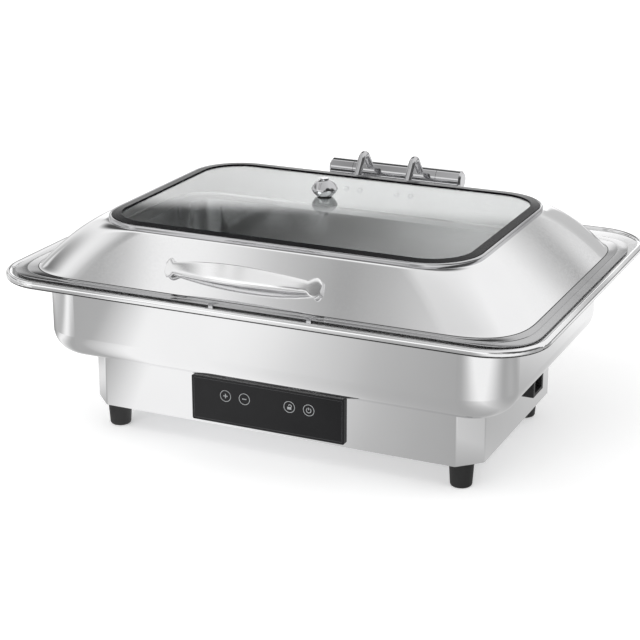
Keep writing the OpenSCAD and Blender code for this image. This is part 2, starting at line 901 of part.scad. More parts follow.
module heating_element() {
    color([0.35, 0.36, 0.38]) element_shape(element_d, 0);
}

module element_terminals() {
    color([0.92, 0.90, 0.84])
        for (s = [-1, 1])
            translate([-element_leg / 2, base_y + s * element_gap / 2, element_z])
                rotate([0, -90, 0]) {
                    cylinder(d = element_d, h = terminal_l);
                    translate([0, 0, terminal_l]) cylinder(d = element_d / 2, h = terminal_l / 2);
                }
}

module insulation_pad() {
    channel = element_d + 2 * slack;
    color([0.90, 0.88, 0.80])
        difference() {
            translate([-heat_pad[0] / 2, base_y - heat_pad[1] / 2, pad_z])
                cube([heat_pad[0], heat_pad[1], pad_t]);
            element_shape(channel, heat_pad[0]);
            for (s = [-1, 1])
                translate([-heat_pad[0], base_y + s * element_gap / 2 - channel / 2, element_z])
                    cube([heat_pad[0] + element_leg / 2, channel, element_d]);
            translate([element_leg / 2, base_y, element_z])
                rotate([0, 0, -90])
                    rotate_extrude(angle = 180)
                        translate([(element_gap - channel) / 2, 0]) square([channel, element_d]);
            translate([0, 0, pad_z - cut])
                at_points(stud_points) cylinder(d = stud_d + 2 * slack, h = pad_t + 2 * cut);
        }
}

module heater_retainer() {
    color(zinc)
        difference() {
            translate([-heat_pad[0] / 2, base_y - heat_pad[1] / 2, retainer_z])
                cube([heat_pad[0], heat_pad[1], retainer_t]);
            translate([0, 0, retainer_z - cut])
                at_points(stud_points) cylinder(d = stud_d + 2 * slack, h = retainer_t + 2 * cut);
        }
}

module heater_studs() {
    color(zinc)
        at_points(stud_points)
            translate([0, 0, stud_low]) cylinder(d = stud_d, h = heat_z + heat_plate[2] / 2 - stud_low);
}

module heater_nuts() {
    color(zinc)
        at_points(stud_points)
            hex_nut(retainer_z - stud_nut_h, 2 * stud_d, stud_d + 2 * fit, stud_nut_h);
}

module thermal_cutout() {
    color([0.85, 0.85, 0.80])
        translate([sensor_x, base_y + heat_plate[1] / 5, heat_z]) {
            translate([0, 0, -cutout_flange[1]]) cylinder(d = cutout_flange[0], h = cutout_flange[1]);
            translate([0, 0, -cutout_h]) cylinder(d = cutout_d, h = cutout_h);
        }
}

module temperature_sensor() {
    color(brass)
        translate([sensor_x, base_y - heat_plate[1] / 5, heat_z]) {
            translate([-sensor_clip / 2, -sensor_clip / 2, -sensor_clip_t])
                cube([sensor_clip, sensor_clip, sensor_clip_t]);
            translate([0, -sensor_l / 2, -sensor_d / 2 - sensor_clip_t / 2])
                rotate([-90, 0, 0]) cylinder(d = sensor_d, h = sensor_l);
        }
}

// Water pan: drawn tub, flat rim and rolled bead in one sheet
module water_pan() {
    bead_top = rim_z + bead_rise;
    color(steel) {
        translate([0, tub_y, 0]) {
            run_round(tub_l / 2, tub_w / 2, tub_r) pan_wall(tub_z, rim_z, tub_fillet);
            translate([0, 0, tub_z])
                linear_extrude(sheet)
                    rounded(tub_l / 2 - tub_fillet, tub_w / 2 - tub_fillet, tub_r - tub_fillet);
        }
        translate([0, 0, rim_z - sheet])
            linear_extrude(sheet)
                difference() {
                    rounded(rim_l / 2 - bead_w / 2, rim_w / 2 - bead_w / 2, rim_r - bead_w / 2);
                    translate([0, tub_y]) rounded(tub_l / 2 - sheet, tub_w / 2 - sheet, tub_r - sheet);
                    at_points(bracket_screw_points) circle(d = bracket_screw_d + 2 * slack);
                }
        run_round(rim_l / 2, rim_w / 2, rim_r) {
            translate([-bead_w / 2, bead_top - bead_w / 2]) circle(d = bead_w);
            translate([-bead_w / 2, bead_top - bead_h + bead_w / 2]) circle(d = bead_w);
            translate([-bead_w, bead_top - bead_h + bead_w / 2]) square([bead_w, bead_h - bead_w]);
        }
    }
}

// Food pan: hangs in the tub by its flange
module food_pan() {
    pan_z = rim_z + sheet - pan_depth;
    color(steel)
        translate([0, tub_y, 0]) {
            run_round(pan_l / 2, pan_w / 2, pan_r) pan_wall(pan_z, rim_z + sheet, pan_fillet);
            translate([0, 0, pan_z])
                linear_extrude(sheet)
                    rounded(pan_l / 2 - pan_fillet, pan_w / 2 - pan_fillet, pan_r - pan_fillet);
            run_round(pan_l / 2, pan_w / 2, pan_r)
                translate([-sheet / 2, rim_z]) square([pan_flange + sheet / 2, sheet]);
        }
}

// Hinge, fixed part
module hinge_bracket() {
    depth = bracket_front + bracket_back;
    color(chrome)
        difference() {
            union() {
                translate([hinge_x - bracket_l / 2, hinge_y - bracket_front, rim_z])
                    cube([bracket_l, depth, bracket_t]);
                for (s = [-1, 1])
                    translate([hinge_x + s * (sleeve_l + knuckle_l) / 2, hinge_y, hinge_z]) {
                        rotate([0, 90, 0]) cylinder(d = barrel_d, h = knuckle_l, center = true);
                        translate([-knuckle_l / 2, -bracket_back, -hinge_rise])
                            cube([knuckle_l, 2 * bracket_back, hinge_rise]);
                    }
            }
            translate([hinge_x, hinge_y, hinge_z])
                rotate([0, 90, 0]) cylinder(d = pin_d + 2 * fit, h = 2 * bracket_l, center = true);
            translate([0, 0, rim_z - cut])
                at_points(bracket_screw_points)
                    cylinder(d = bracket_screw_d + 2 * fit, h = bracket_t + 2 * cut);
        }
}

module bracket_screws() {
    shank = bracket_t + sheet + bracket_nut_h + 1;
    color(zinc)
        at_points(bracket_screw_points)
            translate([0, 0, rim_z + bracket_t])
                mirror([0, 0, 1]) screw_up(0, bracket_screw_d, shank, bracket_head_d, bracket_head_h);
}

module bracket_nuts() {
    color(zinc)
        at_points(bracket_screw_points)
            hex_nut(rim_z - sheet - bracket_nut_h, bracket_head_d, bracket_screw_d + 2 * fit, bracket_nut_h);
}

module hinge_pin() {
    color(zinc)
        translate([hinge_x, hinge_y, hinge_z])
            rotate([0, 90, 0]) cylinder(d = pin_d, h = pin_l, center = true);
}

module hinge_end_caps() {
    color(chrome)
        for (s = [-1, 1])
            translate([hinge_x + s * bracket_l / 2, hinge_y, hinge_z])
                rotate([0, s * 90, 0])
                    rotate_extrude()
                        difference() {
                            polygon([
                                [0, 0], [barrel_r, 0], [barrel_r, cap_l - cap_bevel],
                                [barrel_r - cap_bevel, cap_l], [0, cap_l]
                            ]);
                            translate([0, -cut]) square([pin_d / 2 + fit, cap_seat + slack + cut]);
                        }
}

// Lid
module lid_shell() {
    ledge = trim_inner + seal_w;
    color(steel)
        difference() {
            union() {
                difference() {
                    slope_block(0);
                    slope_block(lid_t);
                }
                translate([0, lid_y, lid_z]) {
                    linear_extrude(lid_flange_t) lid_flange(1);
                    linear_extrude(lid_flange_t + lid_ridge) lid_flange(1 / 2);
                }
            }
            translate([0, lid_y, top_z - 5 * lid_t])
                linear_extrude(10 * lid_t) rounded(top_l / 2 - ledge, top_w / 2 - ledge, top_r - ledge);
            handle_screw_holes();
            arm_screw_holes();
        }
}

// Outline of the lid's flange out to a share of its width
module lid_flange(share) {
    inside = 2 * lid_t;
    difference() {
        rounded(
            lid_l / 2 + lid_flange_x * share,
            lid_w / 2 + lid_flange_y * share,
            lid_r + (lid_edge_r - lid_r) * share
        );
        rounded(lid_l / 2 - inside, lid_w / 2 - inside, lid_r - inside);
    }
}

module handle_screw_holes() {
    for (s = [-1, 1])
        on_slope(false, handle_x + s * (handle_l / 2 - handle_screw_inset), handle_z)
            cylinder(d = handle_screw_d + 2 * slack, h = 20 * lid_t, center = true);
}

module arm_screw_holes() {
    for (a = [-1, 1], s = [-1, 1])
        on_slope(true, hinge_x + a * arm_gap / 2 + s * arm_screw_x, arm_foot_z)
            cylinder(d = arm_screw_d + 2 * slack, h = 20 * lid_t, center = true);
}

module window_glass() {
    color([0.75, 0.80, 0.82, 0.4])
        translate([0, 0, glass_z])
            linear_extrude(glass_t)
                difference() {
                    translate([0, lid_y])
                        rounded(seal_l - glass_inset, seal_half_w - glass_inset, seal_r - glass_inset);
                    translate(knob_at) circle(d = knob_bolt_d + 4 * slack);
                }
}

// Seal of a C-shaped section round the edge of the glass
module window_seal() {
    color(black)
        translate([0, lid_y, top_z])
            run_round(seal_l, seal_half_w, seal_r)
                difference() {
                    polygon([[-seal_w, 0], [0, 0], [0, trim_h], [-seal_w, seal_top]]);
                    translate([-seal_w - cut, seal_lip]) square([seal_w - seal_wall + cut, glass_t]);
                }
}

module window_trim() {
    color(chrome)
        translate([0, lid_y, top_z])
            run_round(top_l / 2, top_w / 2, top_r) {
                translate([-trim_w, 0]) square([trim_w, trim_h - trim_w / 2]);
                translate([-trim_w / 2, trim_h - trim_w / 2]) circle(d = trim_w);
            }
}

// Knob on the glass
module vent_knob() {
    color(chrome)
        translate([knob_at[0], knob_at[1], knob_z])
            rotate_extrude()
                difference() {
                    union() {
                        intersection() {
                            translate([0, knob_belly - knob_offset]) circle(knob_ball_r);
                            translate([0, knob_belly + knob_offset]) circle(knob_ball_r);
                            square([knob_d, knob_top]);
                        }
                        translate([0, knob_belly]) square([knob_button_d / 2, knob_dome + knob_button_h]);
                    }
                    translate([0, -cut]) square([knob_bolt_d / 2 + fit, knob_hole_depth + cut]);
                }
}

module knob_bolt() {
    low = glass_z - knob_washer_t - knob_nut_h - 1;
    color(zinc)
        translate([knob_at[0], knob_at[1], low])
            cylinder(d = knob_bolt_d, h = knob_z + knob_hole_depth - low);
}

module knob_washers() {
    color(rubber)
        for (z = [glass_z - knob_washer_t, glass_top])
            translate([knob_at[0], knob_at[1], z])
                difference() {
                    cylinder(d = knob_washer_d, h = knob_washer_t);
                    translate([0, 0, -cut]) cylinder(d = knob_bolt_d + 2 * fit, h = knob_washer_t + 2 * cut);
                }
}

module knob_nut() {
    color(zinc)
        translate([knob_at[0], knob_at[1], 0])
            hex_nut(glass_z - knob_washer_t - knob_nut_h, knob_nut_d, knob_bolt_d + 2 * fit, knob_nut_h);
}

// Handle: sections across a bow, wider at the grip and at both ends
function handle_flare(w) = sin(quarter_turn * min(1, w / handle_flare_at));
function handle_rounding(w) =
    1 - handle_end_round * pow(max(0, (w - handle_flare_at) / (1 - handle_flare_at)), 2);
function handle_half_h(a) =
    let (w = max(0, (a - handle_neck_at) / (1 - handle_neck_at)))
        handle_rounding(w) * (
            handle_neck_h
            + (handle_grip_h - handle_neck_h) * cos(quarter_turn * min(1, a / handle_neck_at))
            + (handle_end_h - handle_neck_h) * handle_flare(w)
        ) / 2;
function handle_half_t(a) = (handle_end_t + (handle_grip_t - handle_end_t) * cos(quarter_turn * a)) / 2;
function handle_curve(a) = 1 - pow(a, 2.2);
function handle_mid(a) = handle_end_t / 2 + handle_bow * handle_curve(a);
function signed_power(v, p) = sign(v) * pow(abs(v), p);
function handle_ring(u) = [
    for (k = [0:handle_sides - 1])
        let (a = abs(u), turn = 360 * k / handle_sides)
            [
                u * handle_l / 2,
                handle_half_h(a) * signed_power(cos(turn), handle_square) - handle_droop * handle_curve(a),
                handle_mid(a) + handle_half_t(a) * signed_power(sin(turn), handle_square)
            ]
];

// Closed solid through a list of rings of points
module loft(rings) {
    n = len(rings[0]);
    last = (len(rings) - 1) * n;
    sides = [
        for (i = [0:len(rings) - 2], k = [0:n - 1])
            let (a = i * n + k, b = i * n + (k + 1) % n)
                each [[a, a + n, b], [b, a + n, b + n]]
    ];
    ends = [for (k = [1:n - 2]) each [[0, k, k + 1], [last, last + k + 1, last + k]]];
    polyhedron(points = [for (ring = rings) each ring], faces = concat(sides, ends));
}

module handle_bar() {
    loft([for (i = [0:handle_steps]) handle_ring(sin(180 * i / handle_steps - 90))]);
}

module handle() {
    color(chrome)
        on_slope(false, handle_x, handle_z)
            difference() {
                union() {
                    handle_bar();
                    for (s = [-1, 1])
                        translate([s * (handle_l / 2 - handle_screw_inset), 0, 0])
                            cylinder(d = handle_pad_d, h = handle_mid(1 - 2 * handle_screw_inset / handle_l));
                }
                for (s = [-1, 1])
                    translate([s * (handle_l / 2 - handle_screw_inset), 0, -cut])
                        cylinder(d = handle_screw_d + 2 * fit, h = handle_screw_in + cut + slack);
            }
}

module handle_screws() {
    color(zinc)
        for (s = [-1, 1])
            on_slope(false, handle_x + s * (handle_l / 2 - handle_screw_inset), handle_z)
                screw_up(-lid_skin, handle_screw_d, lid_skin + handle_screw_in, handle_head_d, handle_head_h);
}

// Small tabs that rest the lid's front flange on the rim
module rest_tabs() {
    flange_front = lid_y - lid_w / 2 - lid_flange_y;
    flange_top = lid_z + lid_flange_t;
    color(chrome)
        for (s = [-1, 1])
            translate([tab_x + s * tab_gap / 2 - tab_w / 2, 0, 0]) {
                translate([0, flange_front - tab_t, rim_z])
                    cube([tab_w, tab_t, lid_gap + lid_flange_t + tab_t]);
                translate([0, flange_front - tab_t, flange_top])
                    cube([tab_w, tab_t + lid_flange_y / 2 - slack, tab_t]);
            }
}

// Hinge, turning part
function unit(v) = v / norm(v);

// Ring of the bent rod round a point of its path, given by y and z, with the path's normal there
function arm_ring(x, p, normal) = [
    for (k = [0:arm_sides - 1])
        let (turn = 360 * k / arm_sides, v = p + normal * cos(turn) * arm_d / 2)
            [x + sin(turn) * arm_d / 2, v[0], v[1]]
];

// Bent rod from its foot on the lid's rear slope, over the bend and down to the sleeve
module bent_arm(x) {
    lean = slope_lean(arm_foot_z);
    start = [lid_y + lid_half_w(arm_foot_z), arm_foot_z] + [cos(lean), sin(lean)] * arm_foot[2] / 2;
    axis = [hinge_y, hinge_z];
    corner = axis + [-arm_reach, arm_lift];
    d1 = unit(corner - start);
    d2 = unit(axis - corner);
    n1 = [-d1[1], d1[0]];
    n2 = [-d2[1], d2[0]];
    turn = acos(d1 * d2);
    centre = corner + d2 * arm_bend * tan(turn / 2) - arm_bend * n2;
    first = atan2(n1[1], n1[0]);
    bend = [for (j = [0:arm_steps]) first - turn * j / arm_steps];
    difference() {
        union() {
            loft([
                arm_ring(x, start, n1),
                for (b = bend) arm_ring(x, centre + arm_bend * [cos(b), sin(b)], [cos(b), sin(b)]),
                arm_ring(x, axis, n2)
            ]);
            on_slope(true, x, arm_foot_z)
                translate([-arm_foot[0] / 2, -arm_foot[1] / 2, 0]) cube(arm_foot);
        }
        translate([x, hinge_y, hinge_z])
            rotate([0, 90, 0]) cylinder(d = barrel_d, h = 2 * arm_d, center = true);
        for (s = [-1, 1])
            on_slope(true, x + s * arm_screw_x, arm_foot_z)
                cylinder(d = arm_screw_d + 2 * fit, h = 4 * arm_foot[2], center = true);
    }
}

module left_arm() {
    color(chrome) bent_arm(hinge_x - arm_gap / 2);
}

module right_arm() {
    color(chrome) bent_arm(hinge_x + arm_gap / 2);
}

module arm_screws() {
    shank = arm_foot[2] + lid_skin + arm_nut_h + 1;
    color(zinc)
        for (a = [-1, 1], s = [-1, 1])
            on_slope(true, hinge_x + a * arm_gap / 2 + s * arm_screw_x, arm_foot_z)
                translate([0, 0, arm_foot[2]])
                    mirror([0, 0, 1]) screw_up(0, arm_screw_d, shank, 1.8 * arm_screw_d, arm_head_h);
}

module arm_nuts() {
    color(zinc)
        for (a = [-1, 1], s = [-1, 1])
            on_slope(true, hinge_x + a * arm_gap / 2 + s * arm_screw_x, arm_foot_z)
                hex_nut(-lid_skin - arm_nut_h, 1.8 * arm_screw_d, arm_screw_d + 2 * fit, arm_nut_h);
}

module hinge_sleeve() {
    color(chrome)
        translate([hinge_x, hinge_y, hinge_z])
            rotate([0, 90, 0])
                difference() {
                    cylinder(d = barrel_d, h = sleeve_l - 2 * run_gap, center = true);
                    cylinder(d = barrel_d - 2 * sleeve_wall, h = 2 * sleeve_l, center = true);
                }
}

module damper_cartridges() {
    color([0.25, 0.25, 0.27])
        for (s = [-1, 1])
            translate([hinge_x + s * (sleeve_l / 2 - run_gap - damper_l / 2), hinge_y, hinge_z])
                rotate([0, 90, 0])
                    difference() {
                        cylinder(d = damper_d, h = damper_l, center = true);
                        cylinder(d = pin_d + 2 * fit, h = 2 * damper_l, center = true);
                    }
}

base_casing();
bottom_plate();
bottom_screws();
rubber_feet();
foot_screws();
foot_nuts();
panel_bezel();
touch_panel();
touch_board();
touch_springs();
control_board();
board_standoffs();
board_screws();
power_relay();
transformer();
filter_capacitors();
power_inlet();
inlet_pins();
heating_plate();
heating_element();
element_terminals();
insulation_pad();
heater_retainer();
heater_studs();
heater_nuts();
thermal_cutout();
temperature_sensor();
water_pan();
food_pan();
hinge_bracket();
bracket_screws();
bracket_nuts();
hinge_pin();
hinge_end_caps();
lid_shell();
window_glass();
window_seal();
window_trim();
vent_knob();
knob_bolt();
knob_washers();
knob_nut();
handle();
handle_screws();
rest_tabs();
left_arm();
right_arm();
arm_screws();
arm_nuts();
hinge_sleeve();
damper_cartridges();
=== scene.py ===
"""Looks of the electric chafing dish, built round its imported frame.

Sizes are in millimetres until a mesh is made. Places of lamps and of tones are in metres.
"""

import json
import math

import bpy
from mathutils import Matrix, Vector


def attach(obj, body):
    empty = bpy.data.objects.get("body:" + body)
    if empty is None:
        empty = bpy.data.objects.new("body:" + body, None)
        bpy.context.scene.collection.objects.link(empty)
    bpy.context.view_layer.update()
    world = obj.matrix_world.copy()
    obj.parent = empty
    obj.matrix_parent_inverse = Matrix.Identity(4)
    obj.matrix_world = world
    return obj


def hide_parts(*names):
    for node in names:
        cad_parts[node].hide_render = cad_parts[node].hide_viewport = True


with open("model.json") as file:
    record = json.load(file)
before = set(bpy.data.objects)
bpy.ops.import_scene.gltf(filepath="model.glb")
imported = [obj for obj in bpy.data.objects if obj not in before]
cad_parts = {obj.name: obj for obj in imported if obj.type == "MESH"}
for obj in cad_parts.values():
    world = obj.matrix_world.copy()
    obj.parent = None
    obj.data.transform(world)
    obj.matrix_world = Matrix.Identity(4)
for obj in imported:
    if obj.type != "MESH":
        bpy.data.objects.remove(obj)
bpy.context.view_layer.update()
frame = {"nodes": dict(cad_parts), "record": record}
nodes = frame["nodes"]
scene = bpy.context.scene
MM = 0.001

# Sizes that the smooth pieces share with the frame
RIM_Z = 191.0
RIM_HALF_L, RIM_HALF_W, RIM_R = 312.0, 233.5, 62.0
BEAD_Z, BEAD_R = 188.5, 3.5
TUB_Y = -13.5
LID_Z = RIM_Z + 1.6
FLANGE_TOP = LID_Z + 1.2
SLOPE_Z = FLANGE_TOP + 0.6
LID_RISE = 51.5
TOP_Z = SLOPE_Z + LID_RISE
LID_SHEET = 0.8
LEDGE = 13.7
STRAIGHT = 0.6
HANDLE_X = -14.5
HINGE_X, HINGE_Y, HINGE_Z = -11.5, 219.5, 234.0
ARM_X = 33.0
BARREL_R = 11.5
BASE_Y = TUB_Y - 10.0
BASE_L, BASE_W, BASE_CHAMFER, BASE_BEND = 468.0, 266.0, 24.0, 3.0
CHAMFER_SHARE = 0.6
BASE_Z0, BASE_Z1 = 31.0, 95.0
INLET_Y, INLET_Z = BASE_Y + 45.0, 67.0
PANEL_X, PANEL_Z, PANEL_W, PANEL_H = -6.0, 61.0, 183.0, 52.0
PANEL_FACE_Y = BASE_Y - BASE_W / 2 - 3.5

# Outlines of the lid: half length, half width and corner radius
LID_EDGE = (302.0, 205.5, 46.0)
LID_RIDGE = (293.0, 199.25, 52.0)
LID_FOOT = (284.0, 193.0, 58.0)
LID_TOP = (218.5, 151.5, 60.0)

# Lid corners: points per corner, how far the bend reaches past its radius, power of its curve
CORNER_POINTS, CORNER_REACH, CORNER_POWER = 32, 1.35, 2.83
PAST_BEND = 1.0
CORNERS = ((1, 1), (-1, 1), (-1, -1), (1, -1))


# Meshes

def make(name, points, faces, sharp=30.0):
    """A smooth-shaded mesh from points in millimetres, with creases above an angle."""
    mesh = bpy.data.meshes.new(name)
    mesh.from_pydata([(x * MM, y * MM, z * MM) for x, y, z in points], [], faces)
    mesh.validate()
    mesh.update()
    mesh.shade_smooth()
    mesh.set_sharp_from_angle(angle=math.radians(sharp))
    obj = bpy.data.objects.new(name, mesh)
    scene.collection.objects.link(obj)
    return obj


def loft(name, rings, closed=False, caps=False, sharp=30.0):
    """Quads between rings of points, and from the last ring to the first if closed."""
    n, count = len(rings[0]), len(rings)
    faces = []
    for i in range(count if closed else count - 1):
        a, b = i * n, ((i + 1) % count) * n
        for k in range(n):
            m = (k + 1) % n
            faces.append((a + k, a + m, b + m, b + k))
    if caps:
        faces.append(tuple(reversed(range(n))))
        faces.append(tuple(range((count - 1) * n, count * n)))
    return make(name, [p for ring in rings for p in ring], faces, sharp)


def join(target, others):
    every = [target] + others
    with bpy.context.temp_override(active_object=target, object=target, selected_objects=every,
                                   selected_editable_objects=every):
        bpy.ops.object.join()


def stand_for(obj, body, slot, *replaced):
    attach(obj, body)
    if replaced:
        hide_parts(*replaced)
    return obj


def circle(n):
    return [2 * math.pi * k / n for k in range(n)]


def signed_power(v, p):
    return math.copysign(abs(v) ** p, v) if abs(v) > 1e-9 else 0.0


def unit(v):
    d = math.hypot(*v)
    return (v[0] / d, v[1] / d)


def outline(half_l, half_w, r, z, n=24):
    """Rounded rectangle, counter-clockwise, with a point just past each end of its bends."""
    points = []
    for k, (sx, sy) in enumerate(CORNERS):
        arc = []
        for i in range(n + 1):
            a = math.radians(90 * (k + i / n))
            arc.append((sx * (half_l - r) + r * math.cos(a),
                        sy * (half_w - r) + r * math.sin(a), z))
        a = math.radians(90 * k)
        tx, ty = -math.sin(a) * PAST_BEND, math.cos(a) * PAST_BEND
        points.append((arc[0][0] - tx, arc[0][1] - ty, z))
        points += arc
        points.append((arc[-1][0] - ty, arc[-1][1] + tx, z))
    return points


def around(size, offset, z):
    """Outline of the lid. Its corners bend gradually, through the same points at their middles."""
    half_l, half_w = size[0] + offset, size[1] + offset
    r = (size[2] + offset) * CORNER_REACH
    bend = 2 / CORNER_POWER
    points = []
    for k, (sx, sy) in enumerate(CORNERS):
        for i in range(CORNER_POINTS + 1):
            a = math.radians(90 * (k + i / CORNER_POINTS))
            points.append((sx * (half_l - r) + r * signed_power(math.cos(a), bend),
                           TUB_Y + sy * (half_w - r) + r * signed_power(math.sin(a), bend), z))
    return points


def slope_outline(turn, inset):
    """Outline of the slope at an angle of its quarter ellipse, set in and down by the sheet."""
    rise = math.sin(turn)
    share = STRAIGHT * rise + (1 - STRAIGHT) * (1 - math.cos(turn))
    size = [a + (b - a) * share for a, b in zip(LID_FOOT, LID_TOP)]
    return around(size, -inset, SLOPE_Z + rise * LID_RISE - inset)


def lid_shell():
    """Pressed lid: flange, ridge, slope and ledge outside, then the lining back to the flange."""
    steps = 30
    quarter = [math.pi / 2 * i / steps for i in range(steps + 1)]
    rings = [around(LID_EDGE, offset, z) for offset, z in (
        (-0.4, LID_Z), (-0.1, LID_Z + 0.1), (0, LID_Z + 0.4),
        (0, FLANGE_TOP - 0.4), (-0.1, FLANGE_TOP - 0.1), (-0.4, FLANGE_TOP))]
    rings += [around(LID_RIDGE, offset, z) for offset, z in (
        (0, FLANGE_TOP), (-0.1, FLANGE_TOP + 0.4), (-0.5, SLOPE_Z))]
    painted_crease_ring = len(rings)
    rings += [around(LID_FOOT, 1.6, SLOPE_Z), around(LID_FOOT, 0.5, SLOPE_Z + 0.3)]
    rings += [slope_outline(turn, 0.0) for turn in quarter[1:]]
    rings.append(around(LID_TOP, -LEDGE, TOP_Z))
    outside = len(rings)
    rings.append(around(LID_TOP, -LEDGE, TOP_Z - LID_SHEET))
    rings += [slope_outline(turn, LID_SHEET) for turn in reversed(quarter)]
    rings.append(around(LID_FOOT, -2 * LID_SHEET, LID_Z))
    obj = loft("lid_shell_smooth", rings, closed=True, sharp=38.0)
    n = len(rings[0])
    # Painted shade: the flange and ridge rings get darkened steel and the ring at the slope's foot
    # a near-black line; the rest of the outside gets mirror steel and the inside the lining.
    for face in obj.data.polygons:
        ring = face.index // n
        face.material_index = (1 if ring < painted_crease_ring else 2 if ring == painted_crease_ring
                               else 0 if ring < outside else 3)
    return stand_for(obj, "lid", "polished_steel", "lid_shell")


def on_slope(rear, z):
    """Point of the front or rear slope at a height, its outward normal and its way up."""
    t = (z - SLOPE_Z) / LID_RISE
    level = math.sqrt(1 - t * t)
    lean_in = LID_FOOT[1] - LID_TOP[1]
    half = LID_FOOT[1] - lean_in * (STRAIGHT * t + (1 - STRAIGHT) * (1 - level))
    lean = math.atan(lean_in / LID_RISE * (STRAIGHT + (1 - STRAIGHT) * t / level))
    side = 1 if rear else -1
    normal = (side * math.cos(lean), math.sin(lean))
    up = (-side * math.sin(lean), math.cos(lean))
    return (TUB_Y + side * half, z), normal, up


def handle():
    """Cast bow on two posts, thickest in the middle, with a neck and a flare at each end."""
    length, bow, bow_power, droop = 180.0, 24.0, 2.2, 3.5
    end_h, neck_h, grip_h, end_t, grip_t = 22.0, 12.5, 21.0, 6.0, 9.0
    neck_at, flare_at, tip_taper, square = 0.86, 0.55, 0.45, 0.6
    inset, post_share = 11.0, 0.97
    stations, sides, post_sides = 120, 48, 32
    foot, normal, up = on_slope(False, SLOPE_Z + 23.0)

    def place(x, v, w):
        return (HANDLE_X + x, foot[0] + up[0] * v + normal[0] * w,
                foot[1] + up[1] * v + normal[1] * w)

    def curve(a):
        return 1 - a ** bow_power

    def half_h(a):
        w = max(0.0, (a - neck_at) / (1 - neck_at))
        flare = math.sin(math.pi / 2 * min(1.0, w / flare_at))
        rounding = 1 - tip_taper * max(0.0, (w - flare_at) / (1 - flare_at)) ** 2
        grip = math.cos(math.pi / 2 * min(1.0, a / neck_at))
        return rounding * (neck_h + (grip_h - neck_h) * grip + (end_h - neck_h) * flare) / 2

    rings = []
    for i in range(stations + 1):
        u = math.sin(math.pi * (i / stations - 0.5))
        a = abs(u)
        half_t = (end_t + (grip_t - end_t) * math.cos(math.pi / 2 * a)) / 2
        rings.append([place(u * length / 2,
                            half_h(a) * signed_power(math.cos(b), square) - droop * curve(a),
                            end_t / 2 + bow * curve(a)
                            + half_t * signed_power(math.sin(b), square))
                      for b in circle(sides)])
    bar = loft("handle_smooth", rings, caps=True, sharp=50.0)
    top = end_t / 2 + bow * curve(1 - 2 * inset / length)
    posts = []
    for s in (-1, 1):
        x = s * (length / 2 - inset)
        post = [[place(x + neck_h / 2 * math.cos(b), neck_h / 2 * math.sin(b), w)
                 for b in circle(post_sides)] for w in (0.0, top * post_share)]
        posts.append(loft("handle_post", post, caps=True, sharp=50.0))
    join(bar, posts)
    return stand_for(bar, "lid", "chrome", "handle")


def bent_arm(name, x, replaced):
    """Rod that rises from a foot plate on the rear slope and bends down to the barrel."""
    d, bend, bend_steps, sink, sides = 9.0, 9.0, 24, 1.2, 32
    plate_l, plate_w, plate_t, plate_r = 28.0, 16.0, 2.5, 3.0
    foot, normal, up = on_slope(True, SLOPE_Z + 29.0)
    start = (foot[0] + normal[0] * plate_t / 2, foot[1] + normal[1] * plate_t / 2)
    axis = (HINGE_Y, HINGE_Z)
    corner = (HINGE_Y - 26.0, HINGE_Z + 32.0)
    d1 = unit((corner[0] - start[0], corner[1] - start[1]))
    d2 = unit((axis[0] - corner[0], axis[1] - corner[1]))
    turn = math.acos(d1[0] * d2[0] + d1[1] * d2[1])
    run = bend * math.tan(turn / 2)
    n1, n2 = (-d1[1], d1[0]), (-d2[1], d2[0])
    centre = (corner[0] + d2[0] * run - bend * n2[0], corner[1] + d2[1] * run - bend * n2[1])
    first = math.atan2(n1[1], n1[0])
    path = [(start, n1)]
    for j in range(bend_steps + 1):
        b = first - turn * j / bend_steps
        path.append(((centre[0] + bend * math.cos(b), centre[1] + bend * math.sin(b)),
                     (math.cos(b), math.sin(b))))
    reach = BARREL_R - sink
    path.append(((axis[0] - d2[0] * reach, axis[1] - d2[1] * reach), n2))
    rings = [[(x + d / 2 * math.sin(b), p[0] + n[0] * d / 2 * math.cos(b),
               p[1] + n[1] * d / 2 * math.cos(b)) for b in circle(sides)] for p, n in path]
    rod = loft(name, rings, caps=True, sharp=50.0)
    flat = []
    for w, shrink in ((0.0, 0.0), (plate_t - 0.6, 0.0), (plate_t - 0.2, 0.25), (plate_t, 0.7)):
        ring = outline(plate_l / 2 - shrink, plate_w / 2 - shrink, plate_r - shrink, 0.0, 6)
        flat.append([(x + px, foot[0] + up[0] * py + normal[0] * w,
                      foot[1] + up[1] * py + normal[1] * w) for px, py, _ in ring])
    join(rod, [loft(name + "_plate", flat, caps=True, sharp=50.0)])
    return stand_for(rod, "lid", "chrome", replaced)


def bevel_outline(inset, z, n=6):
    """Octagon of the base, set in from its walls, with small bends at its corners."""
    x, y = (BASE_L - 2 * inset) / 2, (BASE_W - 2 * inset) / 2
    cut = BASE_CHAMFER - CHAMFER_SHARE * inset
    corners = [(x, -y + cut), (x, y - cut), (x - cut, y), (-x + cut, y),
               (-x, y - cut), (-x, -y + cut), (-x + cut, -y), (x - cut, -y)]
    points = []
    for i, c in enumerate(corners):
        before, after = corners[i - 1], corners[(i + 1) % len(corners)]
        d1 = unit((c[0] - before[0], c[1] - before[1]))
        d2 = unit((after[0] - c[0], after[1] - c[1]))
        turn = math.acos(d1[0] * d2[0] + d1[1] * d2[1])
        run = BASE_BEND * math.tan(turn / 2)
        p = (c[0] - d1[0] * run, c[1] - d1[1] * run)
        centre = (p[0] - d1[1] * BASE_BEND, p[1] + d1[0] * BASE_BEND)
        a0 = math.atan2(p[1] - centre[1], p[0] - centre[0])
        points.append((p[0] - d1[0] * PAST_BEND, BASE_Y + p[1] - d1[1] * PAST_BEND, z))
        for k in range(n + 1):
            a = a0 + turn * k / n
            points.append((centre[0] + BASE_BEND * math.cos(a),
                           BASE_Y + centre[1] + BASE_BEND * math.sin(a), z))
        end = run + PAST_BEND
        points.append((c[0] + d2[0] * end, BASE_Y + c[1] + d2[1] * end, z))
    return points


